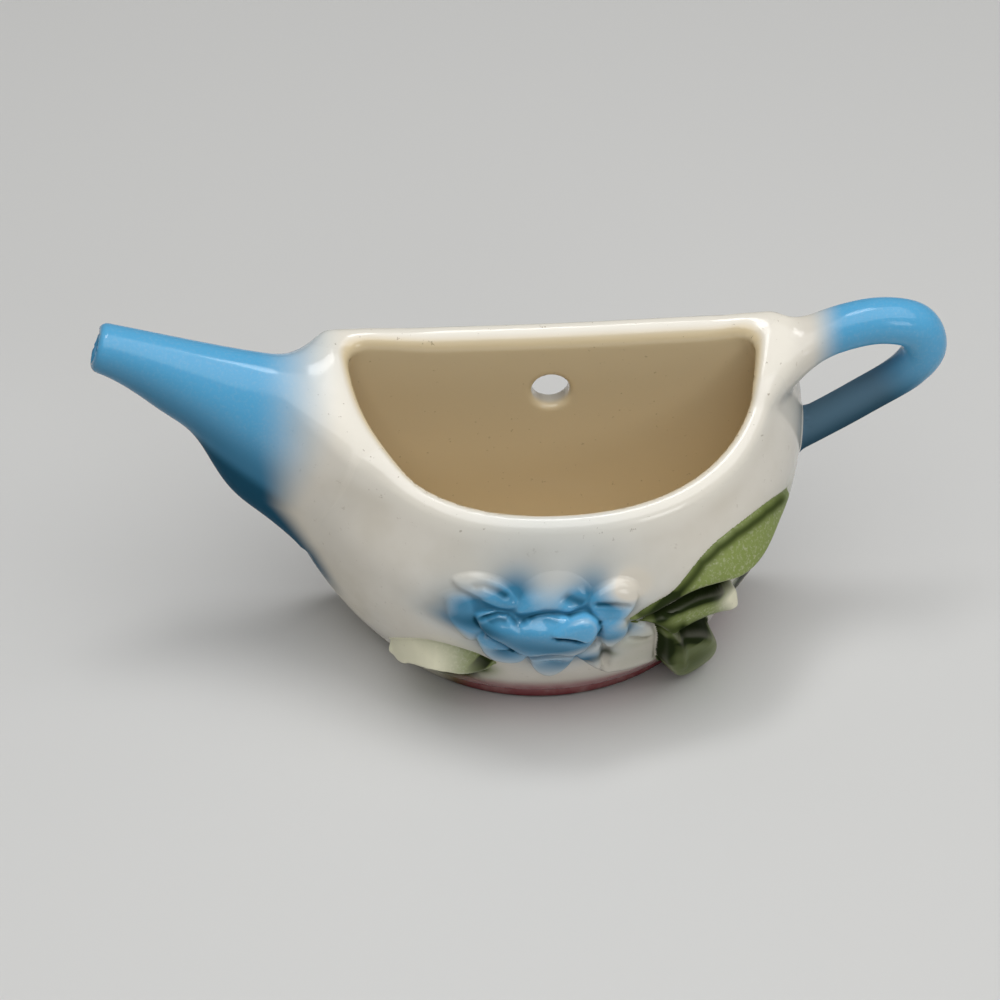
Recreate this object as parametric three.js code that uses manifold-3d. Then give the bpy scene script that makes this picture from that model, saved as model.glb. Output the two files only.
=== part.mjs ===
// A wall pocket planter: half a round teapot of glazed earthenware with a flat back that hangs on a nail.
// The wall is the plane y = 0 and the front faces -y. The spout is at -x and the handle at +x.
// Heights are measured from the table under the foot. The finished group is lowered so that its
// origin is the middle of the hanging hole, on the wall.

import * as THREE from 'three';
import { mergeVertices } from 'three/addons/utils/BufferGeometryUtils.js';
import Module from 'manifold-3d';

const wasm = await Module();
wasm.setup();

// Driving dimensions, in millimetres.
const pocketHeight = 75.5; // table to the top edge of the back wall
const pocketDepth = 52; // wall to the front of the belly
const bellyHalfWidth = 57.2; // widest half width, taken between the two sides
const bellyLean = 2.5; // the belly swells this much more on the spout's side than on average
const bellyHeight = 47; // where the belly is widest
const mouthHalfWidth = 48.5; // half width at the lip, outside
const mouthDepth = 46.8; // wall to the front of the lip, outside
const baseHalfWidth = 41.6; // half width where the wall meets the foot
const baseShift = 2.4; // the foot stands this much towards the spout
const lipDrop = 21; // the front of the lip lies this much below the back edge
const lipBendHeight = 14; // the wall starts to lean down towards the front lip here
const wallThickness = 5; // pocket wall and lip
const floorThickness = 6; // pocket floor
const backThickness = 5; // flat back wall
const footHeight = 4; // low painted foot
const footSetback = 1.2; // the foot stands in from the wall above it
const seam = 0.3; // slip joint between two luted pieces

const hangingHoleDiameter = 8;
const hangingHoleDrop = 16.5; // top edge of the back wall down to the middle of the hole

const spoutReach = 35.8; // tip beyond the belly's side
const spoutTipHeight = 76.6; // middle of the tip
const spoutOuterBow = 70.8; // heights that bend the middle line, a third and two thirds of the way in
const spoutInnerBow = 57.5;
const spoutRootHeight = 51.3; // middle of the root
const spoutRootInset = 12.7; // how far the root's middle lies inside the belly's side
const spoutTipRadius = 5.3;
const spoutRootHalfHeight = 24.6;
const spoutRootHalfDepth = 14.5;
const spoutDimpleRadius = 3.6; // blind mouth in the tip
const spoutDimpleDepth = 3;

const handleReach = 25.5; // middle of the loop's outer end, beyond the belly's side
const handleRadius = 5; // half thickness of the upper arm
const handleLowerRadius = 4.15; // half thickness of the lower arm
const handleRootFlare = 3; // extra radius where the upper arm leaves the body
const handleFlareShare = 0.18; // share of the loop over which the flare runs out
const handleThinFrom = 0.35; // shares of the loop between which it thins to the lower arm
const handleThinTo = 0.65;

const luteDrop = 4; // spout and handle meet the wall this much below the top of the lip

// Middle line of the handle's loop: out from the belly's side as a share of the handle's reach, and up from
// the table as a share of the pocket's height.
const handleLine = [
  { out: -0.353, up: 0.868 }, // upper root, inside the body
  { out: 0.322, up: 0.972 },
  { out: 0.647, up: 0.988 },
  { out: 0.902, up: 0.962 },
  { out: 1, up: 0.887 }, // outer end
  { out: 0.89, up: 0.809 },
  { out: 0.486, up: 0.702 },
  { out: -0.353, up: 0.517 }, // lower root, inside the body
];

// Shape of the wall's curves, as shares of the rise and run between foot, belly and lip.
const lowerStartRun = 0.5;
const lowerStartRise = 0.24;
const lowerEndRise = 0.42;
const upperStartRise = 0.5;
const upperEndRun = 0.35;
const upperEndRise = 0.28;
const spoutTaper = 1.55; // power by which the spout swells from tip to root
const luteRise = 0.75; // slope by which spout and handle may rise away from the lip
const leafPoint = 0.3; // power by which a leaf narrows to its ends

// Facets.
const turnSteps = 72;
const wallSteps = 11;
const spoutSteps = 16;
const spoutSides = 24;
const handleSteps = 36;
const handleSides = 14;
const reliefSides = 20;
const reliefRings = 9;
const holeSides = 32;
const lipSteps = 8;
const feelStep = 0.5; // half the distance over which the wall's slope is felt

const glazes = {
  cream: new THREE.MeshStandardMaterial({ color: 0xd9d4ca, roughness: 0.15, metalness: 0 }),
  pink: new THREE.MeshStandardMaterial({ color: 0xb9747f, roughness: 0.2, metalness: 0 }),
  sky: new THREE.MeshStandardMaterial({ color: 0x5a9bcf, roughness: 0.15, metalness: 0 }),
  pale: new THREE.MeshStandardMaterial({ color: 0xc3d3da, roughness: 0.15, metalness: 0 }),
  olive: new THREE.MeshStandardMaterial({ color: 0x76834b, roughness: 0.2, metalness: 0 }),
};

// Places and sizes of the flower and its leaves are hundredths of the wall's length from foot to lip.
const flowerMiddle = { right: -7.3, climb: 58.4 }; // right of the front line and up from the foot

// Petals of the flower, front ones first. Places are from the flower's middle, right and up along the wall.
const petals = [
  {
    name: 'petal_curl', glaze: glazes.sky,
    right: 9.8, up: 9.6, long: 11.5, wide: 11, thick: 5.4, heading: 60,
  },
  {
    name: 'petal_cup', glaze: glazes.sky,
    right: 0, up: 0, long: 33.5, wide: 33, thick: 4.3, heading: 0,
  },
  {
    name: 'petal_top', glaze: glazes.pale,
    right: 4, up: 27, long: 18, wide: 20.5, thick: 2.4, heading: 90,
  },
  {
    name: 'petal_upper_left', glaze: glazes.pale,
    right: -15.8, up: 25, long: 20, wide: 10.5, thick: 2.2, heading: -15,
  },
  {
    name: 'petal_upper_right', glaze: glazes.pale,
    right: 21.6, up: 20.5, long: 20.5, wide: 14, thick: 2.6, heading: 90,
  },
  {
    name: 'petal_left', glaze: glazes.pale,
    right: -20.2, up: 3, long: 35, wide: 9.5, thick: 2, heading: 97,
  },
  {
    name: 'petal_right', glaze: glazes.sky,
    right: 21.4, up: -1.3, long: 28, wide: 7.7, thick: 2.6, heading: 90,
  },
  {
    name: 'petal_lower_left', glaze: glazes.sky,
    right: -9.4, up: -16.6, long: 26.5, wide: 12, thick: 2.6, heading: 107,
  },
  {
    name: 'petal_lower_mid', glaze: glazes.sky,
    right: 5.2, up: -28.4, long: 19, wide: 12.4, thick: 3, heading: 90,
  },
  {
    name: 'petal_lower_right', glaze: glazes.pale,
    right: 17.4, up: -25.2, long: 26.5, wide: 7.3, thick: 2.4, heading: 106,
  },
  {
    name: 'sepal_right', glaze: glazes.cream,
    right: 31.9, up: -22.6, long: 46, wide: 14.5, thick: 2.5, heading: 107,
  },
];

// Leaves, from stem end to tip. Places are right of the front line and up from the foot, along the wall.
const leaves = [
  { name: 'leaf_left', from: [-19, 32], to: [-65, 4], wide: 20.3, thick: 6, bow: -7.4 },
  { name: 'leaf_right_upper', from: [18, 66.8], to: [77.6, 75.7], wide: 19, thick: 3, bow: 5.4 },
  { name: 'leaf_right_middle', from: [20.2, 63], to: [61.8, 32.5], wide: 18.6, thick: 4, bow: 3.4 },
  { name: 'leaf_right_lower', from: [30, 48.5], to: [53, 4], wide: 14.6, thick: 5.8, bow: 0 },
];

const planter = new THREE.Group();
const assembly = new THREE.Group();
assembly.position.z = -(pocketHeight - hangingHoleDrop);
planter.add(assembly);

const bellyLeft = bellyHalfWidth + bellyLean;
const bellyRight = bellyHalfWidth - bellyLean;

// Turns a closed three.js geometry into a solid that can be cut and joined.
function toSolid(geometry) {
  const bare = geometry.clone();
  bare.deleteAttribute('normal');
  bare.deleteAttribute('uv');
  const merged = mergeVertices(bare, 1e-4);
  const corners = merged.index.array;
  const kept = [];
  for (let i = 0; i < corners.length; i += 3) {
    const [a, b, c] = [corners[i], corners[i + 1], corners[i + 2]];
    if (a !== b && b !== c && c !== a) kept.push(a, b, c);
  }
  const vertProperties = new Float32Array(merged.attributes.position.array);
  return new wasm.Manifold(new wasm.Mesh({ numProp: 3, vertProperties, triVerts: new Uint32Array(kept) }));
}

// Turns a solid back into a three.js geometry.
function toGeometry(solid) {
  const mesh = solid.getMesh();
  const geometry = new THREE.BufferGeometry();
  geometry.setAttribute('position', new THREE.BufferAttribute(new Float32Array(mesh.vertProperties), 3));
  geometry.setIndex(new THREE.BufferAttribute(new Uint32Array(mesh.triVerts), 1));
  geometry.computeVertexNormals();
  return geometry;
}

function addPiece(name, solid, glaze) {
  const mesh = new THREE.Mesh(toGeometry(solid), glaze);
  mesh.name = name;
  assembly.add(mesh);
}

// A block between two depths, wide and tall enough to cut the whole planter.
function blockBetween(frontY, backY) {
  const size = 4 * (bellyHalfWidth + pocketHeight);
  const block = new THREE.BoxGeometry(size, backY - frontY, size);
  return toSolid(block.translate(0, (frontY + backY) / 2, 0));
}

// Sizes of the outer wall, or of the inner one where grow is minus the wall thickness.
function wallSizes(grow, lowest, highest) {
  return {
    base: baseHalfWidth + grow,
    belly: bellyHalfWidth + grow,
    mouth: mouthHalfWidth + grow,
    lowest,
    highest,
  };
}

// The two curves of a wall: foot to belly, then belly to lip.
function wallCurves(sizes) {
  const { base, belly, mouth, lowest, highest } = sizes;
  const run = belly - base;
  const rise = bellyHeight - lowest;
  const upperRun = belly - mouth;
  const upperRise = highest - bellyHeight;
  const lower = new THREE.CubicBezierCurve(
    new THREE.Vector2(base, lowest),
    new THREE.Vector2(base + lowerStartRun * run, lowest + lowerStartRise * rise),
    new THREE.Vector2(belly, bellyHeight - lowerEndRise * rise),
    new THREE.Vector2(belly, bellyHeight),
  );
  const upper = new THREE.CubicBezierCurve(
    new THREE.Vector2(belly, bellyHeight),
    new THREE.Vector2(belly, bellyHeight + upperStartRise * upperRise),
    new THREE.Vector2(mouth + upperEndRun * upperRun, highest - upperEndRise * upperRise),
    new THREE.Vector2(mouth, highest),
  );
  return [lower, upper];
}

function wallPoints(sizes) {
  const [lower, upper] = wallCurves(sizes);
  return [...lower.getPoints(wallSteps), ...upper.getPoints(wallSteps).slice(1)];
}

// Moves a point of the round pocket to its place on the real one: fuller on the spout's side, with its
// foot towards the spout, as deep as the pocket is, and with the lip leaning down towards the front.
function settle(point) {
  const lift = THREE.MathUtils.clamp((point.z - footHeight) / (pocketHeight - footHeight), 0, 1);
  const lean = (point.x < 0 ? bellyLean : -bellyLean) / bellyHalfWidth;
  const swell = Math.sin(Math.PI * lift);
  const drop = lipDrop * THREE.MathUtils.smoothstep(point.z, lipBendHeight, pocketHeight);
  const lowness = 1 - THREE.MathUtils.smoothstep(point.z, footHeight, bellyHeight);
  point.x = point.x * (1 + lean * swell) - baseShift * lowness;
  point.z += (drop * point.y) / mouthHalfWidth;
  point.y *= THREE.MathUtils.lerp(mouthDepth / mouthHalfWidth, pocketDepth / bellyHalfWidth, swell);
  return point;
}

// A turned body of the given profile, settled into the pocket's real shape.
function turnedBody(profile) {
  const geometry = new THREE.LatheGeometry(profile, turnSteps).rotateX(Math.PI / 2);
  const places = geometry.attributes.position;
  const point = new THREE.Vector3();
  for (let i = 0; i < places.count; i += 1) {
    settle(point.fromBufferAttribute(places, i));
    places.setXYZ(i, point.x, point.y, point.z);
  }
  return toSolid(geometry);
}

const lipRadius = wallThickness / 2;
const lipFoot = pocketHeight - lipRadius;

// The whole outer form without its hollow, grown all round by a clearance.
function filledForm(grow) {
  const lowest = footHeight - grow;
  const sizes = wallSizes(grow, lowest, lipFoot);
  const round = lipRadius + grow;
  const lip = new THREE.EllipseCurve(mouthHalfWidth - lipRadius, lipFoot, round, round, 0, Math.PI / 2);
  const profile = [
    new THREE.Vector2(0, lowest),
    ...wallPoints(sizes),
    ...lip.getPoints(lipSteps / 2).slice(1),
    new THREE.Vector2(0, pocketHeight + grow),
  ];
  return turnedBody(profile);
}

// The hollow shell: outer wall, round lip, inner wall and floor.
function hollowForm() {
  const floorTop = footHeight + floorThickness;
  const outer = wallPoints(wallSizes(0, footHeight, lipFoot));
  const inner = wallPoints(wallSizes(-wallThickness, floorTop, lipFoot)).reverse();
  const lip = new THREE.EllipseCurve(mouthHalfWidth - lipRadius, lipFoot, lipRadius, lipRadius, 0, Math.PI);
  const profile = [
    new THREE.Vector2(0, footHeight),
    ...outer,
    ...lip.getPoints(lipSteps).slice(1, -1),
    ...inner,
    new THREE.Vector2(0, floorTop),
  ];
  return turnedBody(profile);
}

// A closed tube through a row of rings. Each ring stands square to the row, with y as one of its axes.
function ringTube(rings, sides) {
  const places = [];
  const corners = [];
  const across = new THREE.Vector3(0, 1, 0);
  const along = new THREE.Vector3();
  const up = new THREE.Vector3();
  rings.forEach((ring, i) => {
    const before = rings[Math.max(i - 1, 0)].middle;
    const after = rings[Math.min(i + 1, rings.length - 1)].middle;
    along.subVectors(after, before).setY(0).normalize();
    up.crossVectors(along, across);
    for (let k = 0; k < sides; k += 1) {
      const angle = (2 * Math.PI * k) / sides;
      const place = ring.middle.clone();
      place.addScaledVector(across, ring.halfDepth * Math.cos(angle));
      place.addScaledVector(up, ring.halfHeight * Math.sin(angle));
      places.push(place.x, place.y, place.z);
    }
  });
  for (let i = 0; i + 1 < rings.length; i += 1) {
    for (let k = 0; k < sides; k += 1) {
      const a = i * sides + k;
      const b = i * sides + ((k + 1) % sides);
      corners.push(a, b, a + sides, b, b + sides, a + sides);
    }
  }
  [0, rings.length - 1].forEach((i) => {
    const { middle } = rings[i];
    const hub = places.length / 3;
    places.push(middle.x, middle.y, middle.z);
    for (let k = 0; k < sides; k += 1) {
      const a = i * sides + k;
      const b = i * sides + ((k + 1) % sides);
      corners.push(...(i === 0 ? [hub, b, a] : [hub, a, b]));
    }
  });
  const geometry = new THREE.BufferGeometry();
  geometry.setAttribute('position', new THREE.Float32BufferAttribute(places, 3));
  geometry.setIndex(corners);
  return toSolid(geometry);
}

// The spout: it lies against the wall and swells from its round tip to a tall oval root on the belly.
function spoutForm() {
  const tipX = -(bellyLeft + spoutReach);
  const rootX = -(bellyLeft - spoutRootInset);
  const length = rootX - tipX;
  const line = new THREE.CubicBezierCurve(
    new THREE.Vector2(tipX, spoutTipHeight),
    new THREE.Vector2(tipX + length / 3, spoutOuterBow),
    new THREE.Vector2(rootX - length / 3, spoutInnerBow),
    new THREE.Vector2(rootX, spoutRootHeight),
  );
  const rings = [];
  for (let i = 0; i <= spoutSteps; i += 1) {
    const share = i / spoutSteps;
    const growth = share ** spoutTaper;
    const halfHeight = THREE.MathUtils.lerp(spoutTipRadius, spoutRootHalfHeight, growth);
    const halfDepth = THREE.MathUtils.lerp(spoutTipRadius, spoutRootHalfDepth, growth);
    const at = line.getPoint(share);
    rings.push({ middle: new THREE.Vector3(at.x, -halfDepth, at.y), halfHeight, halfDepth });
  }
  const tip = rings[0].middle;
  const inward = rings[1].middle.clone().sub(tip).normalize();
  const dimple = [-spoutDimpleDepth, spoutDimpleDepth].map((depth) => ({
    middle: tip.clone().addScaledVector(inward, depth),
    halfHeight: spoutDimpleRadius,
    halfDepth: spoutDimpleRadius,
  }));
  return ringTube(rings, spoutSides).subtract(ringTube(dimple, spoutSides));
}

// The handle: an ear-shaped loop in the plane of the wall, with both ends on the belly's side.
function handleForm() {
  const stations = handleLine.map(({ out, up }) => (
    new THREE.Vector3(bellyRight + out * handleReach, 0, up * pocketHeight)
  ));
  const line = new THREE.CatmullRomCurve3(stations);
  const rings = [];
  for (let i = 0; i <= handleSteps; i += 1) {
    const share = i / handleSteps;
    const flare = Math.max(0, 1 - share / handleFlareShare) ** 2;
    const thinness = THREE.MathUtils.smoothstep(share, handleThinFrom, handleThinTo);
    const arm = THREE.MathUtils.lerp(handleRadius, handleLowerRadius, thinness);
    const radius = arm + handleRootFlare * flare;
    rings.push({ middle: line.getPointAt(share).setY(-radius), halfHeight: radius, halfDepth: radius });
  }
  return ringTube(rings, handleSides);
}

// The room above the lip, which spout and handle leave free: it starts a little below the lip and its
// underside rises outwards.
function aboveLip() {
  const level = pocketHeight - luteDrop;
  const reach = 2 * bellyLeft;
  const profile = [
    new THREE.Vector2(0, level),
    new THREE.Vector2(mouthHalfWidth, level),
    new THREE.Vector2(reach, level + luteRise * (reach - mouthHalfWidth)),
    new THREE.Vector2(reach, 3 * pocketHeight),
    new THREE.Vector2(0, 3 * pocketHeight),
  ];
  return turnedBody(profile);
}

// The outer wall as a curve with its length, for places measured up along the wall.
const wallLine = new THREE.CurvePath();
wallCurves(wallSizes(0, footHeight, lipFoot)).forEach((curve) => wallLine.add(curve));
const wallLength = wallLine.getLength();

// A point on the front of the pocket: right of the front line and up from the foot, along the wall.
function wallPlace(right, climb) {
  const at = wallLine.getPointAt(THREE.MathUtils.clamp(climb / wallLength, 0, 1));
  const turn = right / bellyHalfWidth;
  return settle(new THREE.Vector3(at.x * Math.sin(turn), -at.x * Math.cos(turn), at.y));
}

// The same point, moved straight out from the wall.
function wallPlaceOut(right, climb, out) {
  const along = wallPlace(right + feelStep, climb).sub(wallPlace(right - feelStep, climb));
  const up = wallPlace(right, climb + feelStep).sub(wallPlace(right, climb - feelStep));
  const normal = along.cross(up).normalize();
  return wallPlace(right, climb).addScaledVector(normal, out);
}

// A domed piece of clay laid on the wall: an oval in plan, bowed sideways and narrowed to its ends, with its
// underside a seam away from the wall. Grown copies are cut out of the pieces that lie behind it.
function reliefForm({ right, climb, heading, long, wide, thick, bow, point }, grow) {
  const geometry = new THREE.SphereGeometry(1, reliefSides, reliefRings).rotateX(Math.PI / 2);
  const places = geometry.attributes.position;
  const angle = THREE.MathUtils.degToRad(heading);
  for (let i = 0; i < places.count; i += 1) {
    const x = places.getX(i);
    const y = places.getY(i);
    const z = places.getZ(i);
    const along = x * (long / 2 + grow);
    const narrow = Math.max(1 - x * x, 0) ** point;
    const aside = narrow * y * (wide / 2 + grow) + bow * (1 - x * x);
    const out = z > 0 ? seam + z * (thick + grow) : seam - grow;
    const place = wallPlaceOut(
      right + along * Math.cos(angle) - aside * Math.sin(angle),
      climb + along * Math.sin(angle) + aside * Math.cos(angle),
      out,
    );
    places.setXYZ(i, place.x, place.y, place.z);
  }
  return toSolid(geometry);
}

// A piece of the sprig with its places and sizes in millimetres.
function measured(piece) {
  const lengths = {};
  ['right', 'climb', 'long', 'wide', 'thick', 'bow'].forEach((key) => {
    lengths[key] = (piece[key] * wallLength) / 100;
  });
  return { ...piece, ...lengths };
}

// Pocket, back wall and foot.
const frontBlock = blockBetween(-2 * pocketDepth, -(backThickness + seam));
addPiece('pocket_wall', hollowForm().intersect(frontBlock), glazes.cream);

const hole = new THREE.CylinderGeometry(
  hangingHoleDiameter / 2, hangingHoleDiameter / 2, 4 * backThickness, holeSides,
).translate(0, 0, pocketHeight - hangingHoleDrop);
const backSlab = filledForm(0).intersect(blockBetween(-backThickness, 0));
addPiece('back_wall', backSlab.subtract(toSolid(hole)), glazes.cream);

const footRadius = baseHalfWidth - footSetback;
const footProfile = [
  new THREE.Vector2(0, 0),
  new THREE.Vector2(footRadius - footSetback, 0),
  new THREE.Vector2(footRadius, footSetback),
  new THREE.Vector2(footRadius, footHeight - seam),
  new THREE.Vector2(0, footHeight - seam),
];
addPiece('foot', turnedBody(footProfile).intersect(blockBetween(-2 * pocketDepth, 0)), glazes.pink);

// Spout and handle, each fitted to the body with a slip joint.
const fittedBody = filledForm(seam);
const freeRoom = aboveLip();
addPiece('spout', spoutForm().subtract(freeRoom).subtract(fittedBody), glazes.sky);
addPiece('handle', handleForm().subtract(freeRoom).subtract(fittedBody), glazes.sky);

// Flower and leaves. Each piece makes room for the ones in front of it.
const sprig = [
  ...petals.map((petal) => ({
    ...petal,
    right: flowerMiddle.right + petal.right,
    climb: flowerMiddle.climb + petal.up,
    bow: 0,
    point: 0,
  })),
  ...leaves.map((leaf) => ({
    ...leaf,
    right: (leaf.from[0] + leaf.to[0]) / 2,
    climb: (leaf.from[1] + leaf.to[1]) / 2,
    heading: THREE.MathUtils.radToDeg(Math.atan2(leaf.to[1] - leaf.from[1], leaf.to[0] - leaf.from[0])),
    long: Math.hypot(leaf.to[0] - leaf.from[0], leaf.to[1] - leaf.from[1]),
    point: leafPoint,
    glaze: glazes.olive,
  })),
];
const inFront = [];
sprig.map(measured).forEach((piece) => {
  const solid = inFront.reduce((left, other) => left.subtract(other), reliefForm(piece, 0));
  addPiece(piece.name, solid, piece.glaze);
  inFront.push(reliefForm(piece, seam));
});

export default planter;
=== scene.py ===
"""Dresses the wall pocket planter: glazed pocket, spout, handle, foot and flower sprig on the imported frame.

Shapes are worked out in millimetres, with the table at z = 0, the wall at y = 0 and the front at -y.
Meshes are then set down in metres in the frame's own place.
"""

import logging
import math
from collections.abc import Callable
from dataclasses import dataclass, field
from enum import Enum

import bpy
import numpy as np
from mathutils import Matrix, Vector


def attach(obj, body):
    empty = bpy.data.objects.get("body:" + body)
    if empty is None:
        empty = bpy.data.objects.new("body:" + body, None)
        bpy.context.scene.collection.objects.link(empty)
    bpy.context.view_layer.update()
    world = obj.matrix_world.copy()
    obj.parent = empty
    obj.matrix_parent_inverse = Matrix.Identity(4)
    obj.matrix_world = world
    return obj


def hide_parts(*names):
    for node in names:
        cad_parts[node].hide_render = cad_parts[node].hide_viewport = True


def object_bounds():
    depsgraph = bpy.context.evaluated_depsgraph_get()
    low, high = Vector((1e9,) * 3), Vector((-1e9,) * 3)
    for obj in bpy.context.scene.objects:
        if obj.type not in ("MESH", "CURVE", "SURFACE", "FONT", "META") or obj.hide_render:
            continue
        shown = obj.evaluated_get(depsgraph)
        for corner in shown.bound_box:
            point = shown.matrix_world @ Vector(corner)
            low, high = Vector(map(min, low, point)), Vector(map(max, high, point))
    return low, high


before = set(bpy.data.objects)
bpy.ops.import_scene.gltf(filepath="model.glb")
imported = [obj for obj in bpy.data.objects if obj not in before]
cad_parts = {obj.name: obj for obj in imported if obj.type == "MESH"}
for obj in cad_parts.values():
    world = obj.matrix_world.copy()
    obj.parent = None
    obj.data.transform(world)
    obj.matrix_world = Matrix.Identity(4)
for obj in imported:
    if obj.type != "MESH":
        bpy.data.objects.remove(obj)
CAD_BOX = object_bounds()
MM = 0.001
TABLE_Z = CAD_BOX[0][2]
BODY = "root"

Array = np.ndarray
Pair = tuple[float, float]
Pairs = tuple[Pair, ...]
Place = tuple[float, float, float]
Colour = tuple[float, float, float]
Band = tuple[float, float, float]
Form = Callable[[Array, Array, Array], Array]
Socket = bpy.types.NodeSocket

log = logging.getLogger("planter")


class Slot(Enum):
    """The record's material slots."""

    CREAM = "cream_glaze"
    FOOT = "foot_glaze"
    BLUE = "blue_glaze"
    FLOWER = "flower_glaze"
    LEAF = "leaf_glaze"


class Coat(Enum):
    """Layers of colour on the clay, sprayed or painted as shade and highlight, one number per vertex."""

    BLUE = "blue"
    GREEN = "green"
    PINK = "pink"
    INSIDE = "inside"
    # deep colour: darker spray, and painted shade in creases, under the leaves, spout and handle, and at the
    # foot
    POOL = "pool"
    EDGE = "edge"
    # painted highlight: a paler colour on the lip and on the bare parts of the leaves
    LIP = "lip"


def smooth_step(low: float | Array, high: float | Array, value: Array) -> Array:
    """Eases from 0 at low to 1 at high.

    Args:
        low: Value where the step starts.
        high: Value where the step ends.
        value: Values to ease.

    Returns:
        Shares from 0 to 1.
    """
    share = np.clip((value - low) / (high - low), 0, 1)
    return share * share * (3 - 2 * share)


def soft_min(first: Array, second: Array, reach: float | Array) -> Array:
    """Joins two distance fields with a fillet.

    Args:
        first: Distances to one form.
        second: Distances to the other form.
        reach: Width over which the two forms flow into each other.

    Returns:
        Distances to the joined form.
    """
    mix = np.clip(0.5 + 0.5 * (second - first) / reach, 0, 1)
    return second + (first - second) * mix - reach * mix * (1 - mix)


def soft_max(first: Array, second: Array, reach: float) -> Array:
    """Cuts one distance field by another with a rounded edge."""
    return -soft_min(-first, -second, reach)


def bezier(points: Pairs, steps: int) -> Array:
    """Points along a cubic curve.

    Args:
        points: The curve's four control points.
        steps: Number of steps along the curve.

    Returns:
        An array of steps + 1 points.
    """
    share = np.linspace(0, 1, steps + 1)[:, None]
    a, b, c, d = np.array(points, float)
    rest = 1 - share
    return rest**3 * a + 3 * rest**2 * share * b + 3 * rest * share**2 * c + share**3 * d


def lengths_along(line: Array) -> Array:
    """Distance of each point of a line from its start, measured along it."""
    return np.concatenate([[0], np.cumsum(np.linalg.norm(np.diff(line, axis=0), axis=1))])


def closed_curve(points: Pairs, steps: int = 8) -> Array:
    """A smooth closed outline through a few points.

    Args:
        points: Points that the outline passes.
        steps: Points made between two given ones.

    Returns:
        The outline's points, without a repeated end.
    """
    given = np.array(points, float)
    before, after, beyond = np.roll(given, 1, 0), np.roll(given, -1, 0), np.roll(given, -2, 0)
    rows = []
    for share in np.arange(steps) / steps:
        square, cube = share**2, share**3
        rows.append(
            0.5 * (
                2 * given
                + (after - before) * share
                + (2 * before - 5 * given + 4 * after - beyond) * square
                + (3 * given - before - 3 * after + beyond) * cube
            )
        )
    return np.stack(rows, axis=1).reshape(-1, 2)


def line_distance(line: Array, across: Array, up: Array) -> tuple[Array, Array]:
    """Nearest place on a row of points, for places in the same plane.

    Args:
        line: The row's points.
        across: First coordinate of each place.
        up: Second coordinate of each place.

    Returns:
        The distance to the row, and the share along it from 0 to 1, counted by its points.
    """
    best = np.full(np.broadcast(across, up).shape, np.inf)
    share = np.zeros(best.shape)
    count = len(line) - 1
    for index in range(count):
        start, run = line[index], line[index + 1] - line[index]
        away_across, away_up = across - start[0], up - start[1]
        part = np.clip((away_across * run[0] + away_up * run[1]) / (run @ run), 0, 1)
        square = (away_across - part * run[0]) ** 2 + (away_up - part * run[1]) ** 2
        nearer = square < best
        best = np.where(nearer, square, best)
        share = np.where(nearer, (index + part) / count, share)
    return np.sqrt(best), share


def inside_outline(outline: Array, across: Array, up: Array) -> Array:
    """Tells which places lie inside a closed outline.

    Args:
        outline: The outline's points.
        across: First coordinate of each place.
        up: Second coordinate of each place.

    Returns:
        True for each place inside.
    """
    inside = np.zeros(np.broadcast(across, up).shape, bool)
    for start, end in zip(outline, np.roll(outline, -1, 0)):
        if start[1] == end[1]:
            continue
        between = (start[1] > up) != (end[1] > up)
        crossing = start[0] + (up - start[1]) * (end[0] - start[0]) / (end[1] - start[1])
        inside ^= between & (across < crossing)
    return inside


class TurnedField:
    """Distance to a form turned round the z axis, kept as a fine table of radius and height."""

    STEP = 0.25
    RADIUS_END = 84.0
    LOWEST = -14.0
    HIGHEST = 100.0

    def __init__(self, half_outline: Array, grow: float = 0.0) -> None:
        """Fills the table.

        Args:
            half_outline: Radius and height of the outline, from its foot to its top on the axis.
            grow: Amount by which the form is rounded and grown.
        """
        radii = np.arange(0, self.RADIUS_END, self.STEP)[:, None]
        heights = np.arange(self.LOWEST, self.HIGHEST, self.STEP)[None, :]
        away, _ = line_distance(half_outline, radii, heights)
        self.table = np.where(inside_outline(half_outline, radii, heights), -away, away) - grow

    def at(self, radius: Array, height: Array) -> Array:
        """Looks up distances, which are negative inside.

        Args:
            radius: Radii of the places.
            height: Heights of the places.

        Returns:
            Distances in millimetres.
        """
        rows, columns = self.table.shape
        row = np.clip(radius / self.STEP, 0, rows - 1.001)
        column = np.clip((height - self.LOWEST) / self.STEP, 0, columns - 1.001)
        i, j = row.astype(np.int32), column.astype(np.int32)
        a, b = row - i, column - j
        low = self.table[i, j] * (1 - b) + self.table[i, j + 1] * b
        high = self.table[i + 1, j] * (1 - b) + self.table[i + 1, j + 1] * b
        return low * (1 - a) + high * a


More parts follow.
